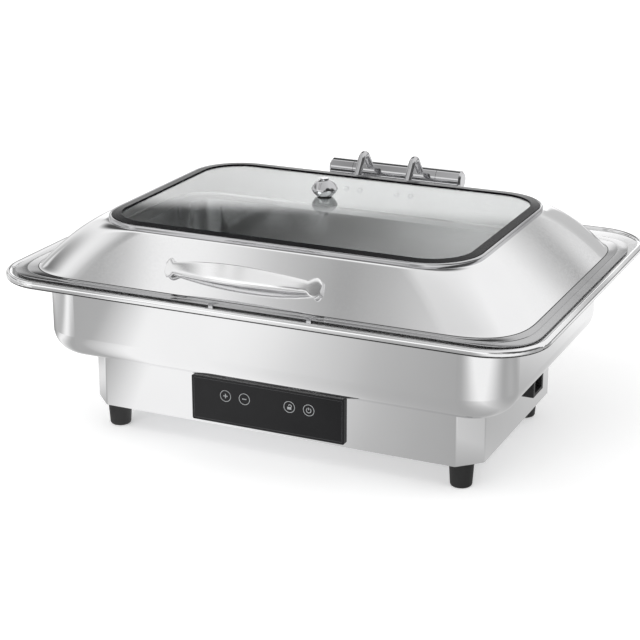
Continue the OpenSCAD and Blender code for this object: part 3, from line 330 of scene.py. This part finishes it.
def cut_box(obj, low, high):
    """Takes a box out of a mesh."""
    points = [(x, y, z) for z in (low[2], high[2]) for y in (low[1], high[1])
              for x in (low[0], high[0])]
    faces = [(0, 2, 3, 1), (4, 5, 7, 6), (0, 1, 5, 4), (1, 3, 7, 5), (3, 2, 6, 7), (2, 0, 4, 6)]
    cutter = make("cutter", points, faces)
    cut = obj.modifiers.new("cut", "BOOLEAN")
    cut.object, cut.operation, cut.solver = cutter, "DIFFERENCE", "EXACT"
    with bpy.context.temp_override(object=obj, active_object=obj):
        bpy.ops.object.modifier_apply(modifier=cut.name)
    mesh = cutter.data
    bpy.data.objects.remove(cutter)
    bpy.data.meshes.remove(mesh)


def base_casing():
    """Sheet box of the base, with an inward lip on top and openings for panel and inlet."""
    wall, lip, sharp, deep = 1.0, 10.0, 35.0, 2
    panel_l, panel_h, inlet_l, inlet_h = 87.5, 22, 14.5, 9.5
    rings = [bevel_outline(inset, z) for inset, z in (
        (0.0, BASE_Z0 + 0.2), (0.0, BASE_Z0 + 1.0), (0.0, BASE_Z1 - 1.4), (0.0, BASE_Z1 - 0.6),
        (0.2, BASE_Z1 - 0.2), (0.6, BASE_Z1), (lip, BASE_Z1), (lip, BASE_Z1 - wall),
        (wall, BASE_Z1 - wall), (wall, BASE_Z0 + 0.2), (wall - 0.2, BASE_Z0), (0.2, BASE_Z0))]
    obj = loft("base_casing_smooth", rings, closed=True, sharp=sharp)
    front, right = BASE_Y - BASE_W / 2, BASE_L / 2
    cut_box(obj, (PANEL_X - panel_l, front - deep, PANEL_Z - panel_h),
            (PANEL_X + panel_l, front + deep, PANEL_Z + panel_h))
    cut_box(obj, (right - deep, INLET_Y - inlet_l, INLET_Z - inlet_h),
            (right + deep, INLET_Y + inlet_l, INLET_Z + inlet_h))
    obj.data.set_sharp_from_angle(angle=math.radians(sharp))
    return stand_for(obj, "base", "polished_steel", "base_casing")


def rim_painted_shade_line():
    """Near-black strip round the lower edge of the rolled rim: a narrow line of painted shade."""
    proud, sunk = 0.05, -0.1
    rings = []
    for offset, turns in ((proud, (20, 35, 50, 65)), (sunk, (65, 20))):
        r = BEAD_R + offset
        for turn in turns:
            b = math.radians(turn)
            inset = BEAD_R - r * math.cos(b)
            rings.append(outline(RIM_HALF_L - inset, RIM_HALF_W - inset, RIM_R - inset,
                                 BEAD_Z - r * math.sin(b)))
    return stand_for(loft("rim_painted_shade_line", rings, closed=True), "base", "polished_steel")


# Touch symbols and line, thin inlays on the panel's face

def ring_strip(cx, cz, r, width, a0=0.0, a1=360.0, n=48):
    """Flat arc of a given line width, as pairs of points of the panel's plane."""
    pairs = []
    for i in range(n + 1):
        a = math.radians(a0 + (a1 - a0) * i / n)
        pairs.append(tuple((cx + rr * math.cos(a), cz + rr * math.sin(a))
                           for rr in (r - width / 2, r + width / 2)))
    return pairs


def bar_strip(x0, z0, x1, z1, width):
    d = unit((x1 - x0, z1 - z0))
    nx, nz = -d[1] * width / 2, d[0] * width / 2
    return [((x0 - nx, z0 - nz), (x0 + nx, z0 + nz)), ((x1 - nx, z1 - nz), (x1 + nx, z1 + nz))]


def inlay(name, strips, height):
    points, faces = [], []
    low, high = PANEL_FACE_Y, PANEL_FACE_Y - height
    for pairs in strips:
        first = len(points)
        for p, q in pairs:
            points += [(x, y, z) for (x, z), y in ((p, low), (q, low), (q, high), (p, high))]
        for i in range(len(pairs) - 1):
            a, b = first + 4 * i, first + 4 * (i + 1)
            for k in range(4):
                m = (k + 1) % 4
                faces.append((a + k, b + k, b + m, a + m))
        last = len(points) - 4
        faces.append((first, first + 1, first + 2, first + 3))
        faces.append((last + 3, last + 2, last + 1, last))
    return stand_for(make(name, points, faces, 40.0), "base", "gloss_black")


def touch_symbols():
    z = PANEL_Z + 7.0
    ring_r, ring_line, half, bar, thin = 6.3, 0.7, 2.6, 1.1, 0.8
    keys = [PANEL_X + x for x in (-50, -27, 27, 50)]
    plus, minus, lock, power = keys
    strips = [ring_strip(x, z, ring_r, ring_line) for x in keys]
    strips += [
        bar_strip(plus - half, z, plus + half, z, bar),
        bar_strip(plus, z - half, plus, z - 0.56, bar),
        bar_strip(plus, z + 0.56, plus, z + half, bar),
        bar_strip(minus - half, z, minus + half, z, bar),
        bar_strip(lock - 2.4, z - 1.4, lock + 2.4, z - 1.4, 3.0),
        ring_strip(lock + 0.9, z + 1.3, 1.6, thin, 0, 180, 20),
        bar_strip(lock + 2.5, z + 0.1, lock + 2.5, z + 1.3, thin),
        ring_strip(power, z - 0.2, 2.7, thin, 125, 415, 36),
        bar_strip(power, z + 0.3, power, z + 3.2, 0.9),
    ]
    return inlay("touch_symbols", strips, 0.12)


def panel_line():
    """Fine line that runs round the panel, just inside its edge."""
    margin, w = 2.6, 0.35
    left, right = PANEL_X - (PANEL_W / 2 - margin), PANEL_X + (PANEL_W / 2 - margin)
    low, high = PANEL_Z - (PANEL_H / 2 - margin), PANEL_Z + (PANEL_H / 2 - margin)
    strips = [bar_strip(left, z, right, z, w) for z in (low, high)]
    strips += [bar_strip(x, low + w, x, high - w, w) for x in (left, right)]
    return inlay("panel_line", strips, 0.05)


# Node trees. A value given to a node is a number or another node's output

class Nodes:
    def __init__(self, tree):
        self.tree = tree

    def node(self, kind, **values):
        n = self.tree.nodes.new(kind)
        for key, value in values.items():
            if key in n.inputs:
                n.inputs[key].default_value = value
            else:
                setattr(n, key, value)
        return n

    def link(self, a, b):
        self.tree.links.new(a, b)

    def feed(self, socket, value):
        if isinstance(value, float):
            socket.default_value = value
        else:
            self.link(value, socket)

    def math(self, operation, *values):
        n = self.node("ShaderNodeMath", operation=operation)
        for socket, value in zip(n.inputs, values):
            self.feed(socket, value)
        return n.outputs[0]

    def times(self, first, *others):
        for other in others:
            first = self.math("MULTIPLY", first, other)
        return first

    def minus(self, value):
        return self.math("SUBTRACT", 0.0, value)

    def remap(self, value, start, end, low=0.0, high=1.0, shape="LINEAR"):
        n = self.node("ShaderNodeMapRange", interpolation_type=shape)
        for key, v in (("From Min", start), ("From Max", end), ("To Min", low), ("To Max", high)):
            n.inputs[key].default_value = v
        self.link(value, n.inputs["Value"])
        return n.outputs["Result"]

    def step(self, value, low, high):
        """Soft step from nought to one."""
        return self.remap(value, low, high, shape="SMOOTHSTEP")

    def bands(self, value, low, high, stops):
        """Smooth grey tone along a value, from pairs of place and tone."""
        ramp = self.node("ShaderNodeValToRGB")
        ramp.color_ramp.interpolation = "CARDINAL"
        elements = ramp.color_ramp.elements
        while len(elements) < len(stops):
            elements.new(0.5)
        for element, (place, tone) in zip(elements, stops):
            element.position = (place - low) / (high - low)
            element.color = (tone, tone, tone, 1)
        self.link(self.remap(value, low, high), ramp.inputs["Fac"])
        return ramp.outputs["Color"]

    def length(self, vector):
        n = self.node("ShaderNodeVectorMath", operation="LENGTH")
        self.link(vector, n.inputs[0])
        return n.outputs["Value"]

    def along(self, vector, axis):
        n = self.node("ShaderNodeVectorMath", operation="DOT_PRODUCT")
        n.inputs[1].default_value = axis
        self.link(vector, n.inputs[0])
        return n.outputs["Value"]

    def split(self, vector):
        n = self.node("ShaderNodeSeparateXYZ")
        self.link(vector, n.inputs[0])
        return [n.outputs[axis] for axis in "XYZ"]

    def blend(self, factor, a, b):
        n = self.node("ShaderNodeMix", data_type="FLOAT")
        self.link(factor, n.inputs["Factor"])
        self.feed(n.inputs["A"], a)
        self.feed(n.inputs["B"], b)
        return n.outputs["Result"]


class Material(Nodes):
    """A node material on a principled shader, with object-space textures."""

    def __init__(self, name, **values):
        self.material = bpy.data.materials.new(name)
        self.material.use_nodes = True
        super().__init__(self.material.node_tree)
        self.shader = self.tree.nodes["Principled BSDF"]
        self.place = self.node("ShaderNodeTexCoord").outputs["Object"]
        for key, value in values.items():
            self.shader.inputs[key].default_value = value

    def noise(self, scale, detail=4.0, stretch=None):
        n = self.node("ShaderNodeTexNoise", Scale=scale, Detail=detail)
        source = self.place
        if stretch:
            mapping = self.node("ShaderNodeMapping", Scale=stretch)
            self.link(source, mapping.inputs["Vector"])
            source = mapping.outputs["Vector"]
        self.link(source, n.inputs["Vector"])
        return n.outputs["Fac"]

    def spread(self, noise, low, high):
        """A noise's middle range, stretched between two values."""
        return self.remap(noise, 0.3, 0.7, low, high)

    def roughness(self, value):
        self.link(value, self.shader.inputs["Roughness"])

    def bump(self, value, distance):
        n = self.node("ShaderNodeBump", Distance=distance, Strength=1.0)
        self.link(value, n.inputs["Height"])
        old = self.shader.inputs["Normal"]
        if old.is_linked:
            self.link(old.links[0].from_socket, n.inputs["Normal"])
        self.link(n.outputs["Normal"], old)

    def tint(self, value, dark, light):
        n = self.node("ShaderNodeMix", data_type="RGBA")
        n.inputs["A"].default_value = (*dark, 1)
        n.inputs["B"].default_value = (*light, 1)
        self.link(value, n.inputs["Factor"])
        self.link(n.outputs["Result"], self.shader.inputs["Base Color"])

    def mix_in(self, factor, first, second):
        """Sets the surface to the first shader, or to the second where the factor is one."""
        mix = self.node("ShaderNodeMixShader")
        self.link(factor, mix.inputs[0])
        self.link(first.outputs[0], mix.inputs[1])
        self.link(second.outputs[0], mix.inputs[2])
        self.link(mix.outputs[0], self.tree.nodes["Material Output"].inputs["Surface"])


def steel(name, dark, light, low, high, wave=0.00002, grain=0.0000015, stretch=None, metal=1.0):
    """Metal between two colours and two roughnesses, with a faint wave and a fine grain."""
    m = Material(name, Metallic=metal)
    cloud = m.noise(9.0, 5.0)
    m.tint(m.spread(cloud, 0, 1), dark, light)
    fine = m.noise(420.0, 3.0, stretch)
    m.roughness(m.math("ADD", m.spread(cloud, low, high), m.spread(fine, -0.015, 0.015)))
    m.bump(m.noise(6.0, 2.0), wave)
    m.bump(fine, grain)
    return m.material


def plain(name, dark, light, low, high, grain_scale, grain, specular=0.5, metal=0.0):
    """Rubber, plastic, paint and the like, with a grain of its own size."""
    m = Material(name, Metallic=metal, **{"Specular IOR Level": specular})
    cloud = m.noise(14.0, 5.0)
    m.tint(m.spread(cloud, 0, 1), dark, light)
    fine = m.noise(grain_scale)
    m.roughness(m.math("ADD", m.spread(cloud, low, high), m.spread(fine, -0.03, 0.03)))
    m.bump(fine, grain)
    return m.material


def clear_glass(name):
    """Clear glass that lets lamps through."""
    m = Material(name, **{"Base Color": (0.97, 0.99, 0.985, 1), "IOR": 1.5,
                          "Transmission Weight": 1.0})
    m.roughness(m.spread(m.noise(30.0, 5.0), 0.0, 0.012))
    m.bump(m.noise(4.0, 1.0), 0.00001)
    path = m.node("ShaderNodeLightPath")
    through = m.node("ShaderNodeBsdfTransparent", Color=(0.93, 0.95, 0.945, 1))
    m.mix_in(path.outputs["Is Shadow Ray"], m.shader, through)
    return m.material


MIRROR = steel("mirror_steel", (0.85, 0.85, 0.855), (0.89, 0.89, 0.895), 0.04, 0.08)
# Steel at about half the mirror steel's tone, a little rougher: the darkness is painted shade,
# standing for darker reflections on the lid's flange and ridge.
FLANGE_PAINTED_SHADE = steel("flange_steel_painted_shade", (0.45, 0.45, 0.455), (0.51, 0.51, 0.515), 0.08, 0.14)
# Near-black steel: painted shade, for the dark line at the foot of the lid's slope and the one
# under the rolled rim.
PAINTED_SHADE_LINE = steel("painted_shade_line_steel", (0.03, 0.03, 0.03), (0.06, 0.06, 0.06), 0.30, 0.4)
LINING = steel("lid_lining", (0.78, 0.78, 0.78), (0.83, 0.83, 0.83), 0.30, 0.38, metal=0.4)
INNER = steel("pan_steel", (0.86, 0.86, 0.865), (0.91, 0.91, 0.915), 0.10, 0.18,
              stretch=(1.0, 14.0, 14.0))
SATIN = steel("satin_chrome", (0.92, 0.92, 0.925), (0.96, 0.96, 0.965), 0.17, 0.25,
              wave=0.000004, metal=0.8)
CHROME = steel("chrome", (0.54, 0.54, 0.55), (0.60, 0.60, 0.61), 0.03, 0.07, wave=0.000004)
ZINC = steel("zinc_plate", (0.50, 0.51, 0.53), (0.66, 0.66, 0.67), 0.30, 0.42)
ALUMINIUM = steel("cast_aluminium", (0.60, 0.60, 0.61), (0.72, 0.72, 0.73), 0.35, 0.5,
                  grain=0.00002)
DARK_STEEL = steel("element_steel", (0.16, 0.16, 0.17), (0.26, 0.25, 0.25), 0.35, 0.5)
BRASS = steel("brass", (0.70, 0.55, 0.26), (0.80, 0.66, 0.36), 0.18, 0.3)
RUBBER = plain("black_rubber", (0.012, 0.012, 0.012), (0.022, 0.022, 0.022), 0.45, 0.62,
               900.0, 0.00003)
SEAL = plain("black_border", (0.004, 0.004, 0.005), (0.009, 0.009, 0.010), 0.18, 0.30,
             700.0, 0.000004, specular=0.06)
PANEL = plain("gloss_panel", (0.005, 0.005, 0.006), (0.009, 0.009, 0.010), 0.10, 0.18,
              800.0, 0.000002, specular=0.3)
PLASTIC = plain("black_plastic", (0.010, 0.010, 0.011), (0.020, 0.020, 0.021), 0.34, 0.5,
                1200.0, 0.00002)
INK = plain("symbol_ink", (0.36, 0.37, 0.38), (0.46, 0.47, 0.48), 0.4, 0.55, 600.0, 0.000004)
LINE_INK = plain("line_ink", (0.05, 0.05, 0.055), (0.09, 0.09, 0.095), 0.3, 0.45,
                 600.0, 0.000002)
BOARD = plain("board_green", (0.02, 0.10, 0.05), (0.04, 0.16, 0.08), 0.35, 0.5, 500.0, 0.00002)
COPPER = plain("winding", (0.38, 0.18, 0.06), (0.52, 0.27, 0.10), 0.3, 0.45, 700.0, 0.00003,
               metal=0.6)
CERAMIC = plain("ceramic", (0.70, 0.67, 0.60), (0.82, 0.79, 0.72), 0.5, 0.7, 400.0, 0.00003)
WOOL = plain("mineral_wool", (0.62, 0.58, 0.48), (0.80, 0.76, 0.66), 0.85, 0.98, 300.0, 0.0006)
GLASS = clear_glass("clear_glass")

BY_SLOT = {
    "polished_steel": MIRROR, "chrome": CHROME, "zinc_steel": ZINC, "black_rubber": RUBBER,
    "gloss_black": PANEL, "black_plastic": PLASTIC, "board_green": BOARD, "brass_parts": BRASS,
    "copper_parts": COPPER, "heater_aluminium": ALUMINIUM, "element_steel": DARK_STEEL,
    "ceramic": CERAMIC, "mineral_wool": WOOL, "clear_glass": GLASS,
}
BY_NODE = {"food_pan": INNER, "window_seal": SEAL}


def paint(obj, *materials):
    picks = [face.material_index for face in obj.data.polygons]
    obj.data.materials.clear()
    for material in materials:
        obj.data.materials.append(material)
    if len(materials) > 1:
        obj.data.polygons.foreach_set("material_index", picks)


for part in frame["record"]["subparts"]:
    paint(nodes[part["node"]], BY_NODE.get(part["node"], BY_SLOT[part["material_slot"]]))

paint(lid_shell(), MIRROR, FLANGE_PAINTED_SHADE, PAINTED_SHADE_LINE, LINING)
paint(base_casing(), MIRROR)
paint(rim_painted_shade_line(), PAINTED_SHADE_LINE)
paint(handle(), SATIN)
paint(bent_arm("left_arm_smooth", HINGE_X - ARM_X, "left_arm"), CHROME)
paint(bent_arm("right_arm_smooth", HINGE_X + ARM_X, "right_arm"), CHROME)
paint(touch_symbols(), INK)
paint(panel_line(), LINE_INK)


# Studio: a white floor and room with soft grey bands, which the polished steel mirrors

FLOOR_HALF = 14000.0
FAN_X, FAN_Y, FAN_SCALE = 0.9, 2.58, -3.0
PANE_SHARE = 0.35

# Floor's own glow, by the distance from the middle
FLOOR_GLOW = ((0.0, 0.36), (0.8, 0.36), (2.0, 0.52), (6.0, 0.6))
# Tones of the floor in the steel: in a fan at the front, along x at the back, round a right patch
FRONT_TONES = (
    (-0.9, 0.6), (-0.7, 0.55), (-0.57, 1.0), (-0.44, 0.53), (-0.37, 0.46), (-0.35, 0.55),
    (-0.3, 0.95), (-0.27, 1.07), (-0.2, 1.03), (-0.1, 0.84), (0.0, 0.6), (0.08, 0.47),
    (0.22, 0.46), (0.34, 0.75), (0.46, 1.05))
BACK_TONES = ((-1.2, 0.6), (-0.9, 1.0), (-0.5, 0.3), (-0.3, 0.95), (-0.1, 1.05), (0.05, 0.4),
              (0.2, 0.8), (0.3, 1.05))
PATCH_TONES = ((0.0, 0.48), (0.17, 0.48), (0.36, 0.93), (0.5, 1.05))
BEYOND_TONE, FAR_RIGHT_TONE = 0.3, 0.1

# Tones of the room by direction: along x, along y behind, the flag behind, towards a corner
ACROSS_TONES = (
    (-1.0, 0.15), (-0.9, 0.28), (-0.8, 0.7), (-0.7, 0.92), (-0.58, 0.74), (-0.53, 0.52),
    (-0.505, 0.47), (-0.49, 0.86), (-0.475, 1.08), (-0.43, 0.74), (-0.39, 0.48), (-0.37, 0.45),
    (-0.32, 0.7), (0.0, 0.8), (0.78, 0.8), (0.88, 0.2), (1.0, 0.12))
BEHIND_TONES = ((0.88, 1.05), (0.906, 1.08), (0.912, 0.77), (0.918, 0.45), (0.92, 0.5),
                (0.924, 0.9), (0.928, 0.66), (0.94, 0.6))
FLAG_TONES = ((-0.5, 0.1), (-0.43, 0.1), (-0.3, 0.85), (-0.15, 1.0))
CORNER_TONES = ((-0.5, 0.76), (0.1, 0.83), (0.5, 0.94), (0.85, 1.07))
CORNER_AXIS = (0.75, 0.63, 0.2)
OVERHEAD_TONE, LOW_TONE, LEVEL_TONE, HORIZON_TONE = 1.05, 1.2, 0.85, 1.45
HORIZON_SLANT = 0.057
# Dark cards: direction, where the edge starts and ends, tone
RIGHT_CARD = ((0.75, -0.5, 0.43), 0.9, 0.95, 0.08)
REAR_CARD = ((-0.42, 0.62, 0.66), 0.93, 0.97, 0.08)
CAMERA_CARD = ((0.39, -0.86, 0.33), 0.975, 0.99, 0.05)


def studio_floor():
    s = FLOOR_HALF
    obj = make("floor", [(-s, -s, 0), (s, -s, 0), (s, s, 0), (-s, s, 0)], [(0, 1, 2, 3)])
    m = Material("floor_paint", Roughness=0.9)
    m.tint(m.spread(m.noise(3.0, 3.0), 0, 1), (0.90, 0.90, 0.90), (0.92, 0.92, 0.92))
    path = m.node("ShaderNodeLightPath").outputs
    x, y, _ = m.split(m.place)

    # What the camera sees, straight or through the glass
    glow = m.node("ShaderNodeEmission", Color=(1, 1, 1, 1))
    lift = m.bands(m.length(m.place), 0.0, 6.0, FLOOR_GLOW)
    pane = m.times(path["Is Transmission Ray"], PANE_SHARE)
    seen = m.math("MAXIMUM", path["Is Camera Ray"], pane)
    m.link(m.times(lift, seen), glow.inputs["Strength"])
    lit = m.node("ShaderNodeAddShader")
    m.link(m.shader.outputs[0], lit.inputs[0])
    m.link(glow.outputs[0], lit.inputs[1])

    # What the steel mirrors
    fan = m.math("DIVIDE", m.math("SUBTRACT", FAN_X, x), m.math("SUBTRACT", FAN_Y, y))
    front = m.bands(m.math("MULTIPLY_ADD", fan, FAN_SCALE, FAN_X), -0.9, 0.7, FRONT_TONES)
    back = m.bands(x, -1.2, 0.4, BACK_TONES)
    patch = m.node("ShaderNodeMapping", Scale=(0.6, 0.9, 1.0), Location=(-0.36, -0.02, 0.0))
    m.link(m.place, patch.inputs["Vector"])
    right = m.bands(m.length(patch.outputs["Vector"]), 0.0, 0.6, PATCH_TONES)
    near = m.math("MINIMUM", m.blend(m.step(y, -0.15, 0.05), front, back), right)
    beyond = m.times(m.step(x, 0.5, 0.58), m.step(y, 0.15, 0.3))
    near = m.blend(beyond, near, BEYOND_TONE)
    mirrored = m.node("ShaderNodeEmission", Color=(1, 1, 1, 1))
    m.link(m.blend(m.step(x, 0.9, 1.3), near, FAR_RIGHT_TONE), mirrored.inputs["Strength"])

    in_steel = m.math("GREATER_THAN", path["Is Glossy Ray"], path["Is Transmission Ray"])
    m.mix_in(in_steel, lit, mirrored)
    paint(obj, m.material)


def room():
    world = bpy.data.worlds.new("room")
    scene.world = world
    world.use_nodes = True
    n = Nodes(world.node_tree)
    direction = n.node("ShaderNodeTexCoord").outputs["Generated"]
    x, y, z = n.split(direction)
    left, fore, down = n.minus(x), n.minus(y), n.minus(z)

    def card(tone, axis, start, end, shade):
        return n.blend(n.step(n.along(direction, axis), start, end), tone, shade)

    across = n.bands(x, -1.0, 1.0, ACROSS_TONES)
    corner = n.bands(n.along(direction, CORNER_AXIS), -0.5, 1.0, CORNER_TONES)
    right = n.times(n.step(x, -0.33, -0.27), n.step(left, -0.84, -0.76))
    tone = n.blend(right, across, corner)
    overhead = n.times(n.step(y, 0.1, 0.25), n.step(z, 0.62, 0.8), n.step(left, 0.28, 0.36))
    tone = n.blend(overhead, tone, OVERHEAD_TONE)
    low = n.times(n.step(fore, 0.6, 0.72), n.step(down, -0.46, -0.41))
    tone = n.blend(low, tone, LOW_TONE)
    tone = card(card(tone, *RIGHT_CARD), *REAR_CARD)
    level = n.times(n.step(left, 0.76, 0.84), n.step(down, -0.35, -0.25),
                    n.step(fore, -0.5, -0.4))
    tone = n.blend(level, tone, LEVEL_TONE)

    # Behind: dark on the left but for a bright strip over the horizon, which the glass mirrors
    behind = n.bands(y, 0.88, 0.98, BEHIND_TONES)
    flag = n.bands(x, -0.5, 0.0, FLAG_TONES)
    lift = n.math("SUBTRACT", z, n.times(x, HORIZON_SLANT))
    horizon = n.times(n.math("SUBTRACT", 1.0, n.step(lift, 0.287, 0.296)),
                      n.step(left, 0.1, 0.2))
    rear = n.blend(horizon, n.times(behind, flag), HORIZON_TONE)
    tone = n.blend(n.step(y, 0.72, 0.84), tone, rear)
    tone = card(tone, *CAMERA_CARD)

    background = n.tree.nodes["Background"]
    background.inputs["Color"].default_value = (1, 1, 1, 1)
    n.link(tone, background.inputs["Strength"])


def aimed(name, data, place, target):
    obj = bpy.data.objects.new(name, data)
    obj.location = place
    way = Vector(target) - Vector(place)
    obj.rotation_euler = way.to_track_quat("-Z", "Y").to_euler()
    scene.collection.objects.link(obj)
    return obj


def lamp(name, place, target, size, power):
    """Rectangular lamp in metres and watts, which doesn't show in the steel."""
    light = bpy.data.lights.new(name, "AREA")
    light.shape = "RECTANGLE"
    light.size, light.size_y = size
    light.energy = power
    aimed(name, light, place, target).visible_glossy = False


def camera():
    data = bpy.data.cameras.new("camera")
    data.sensor_width = 36.0
    data.lens = 98.2
    data.clip_end = 60.0
    eye, target = Vector((772.4, -1729.1, 772.9)), Vector((-7.7, -17.4, 117.6))
    scene.camera = aimed("camera", data, eye * MM, target * MM)


studio_floor()
room()
lamp("key", (-1.4, -1.2, 2.2), (0, 0, 0.1), (1.6, 1.6), 16.0)
lamp("fill", (1.8, -0.6, 1.6), (0, 0, 0.1), (1.2, 1.2), 6.0)
lamp("front", (-0.5, -2.4, 1.0), (0, 0.15, 0.22), (1.6, 0.7), 12.0)
camera()
scene.view_settings.view_transform = "Standard"
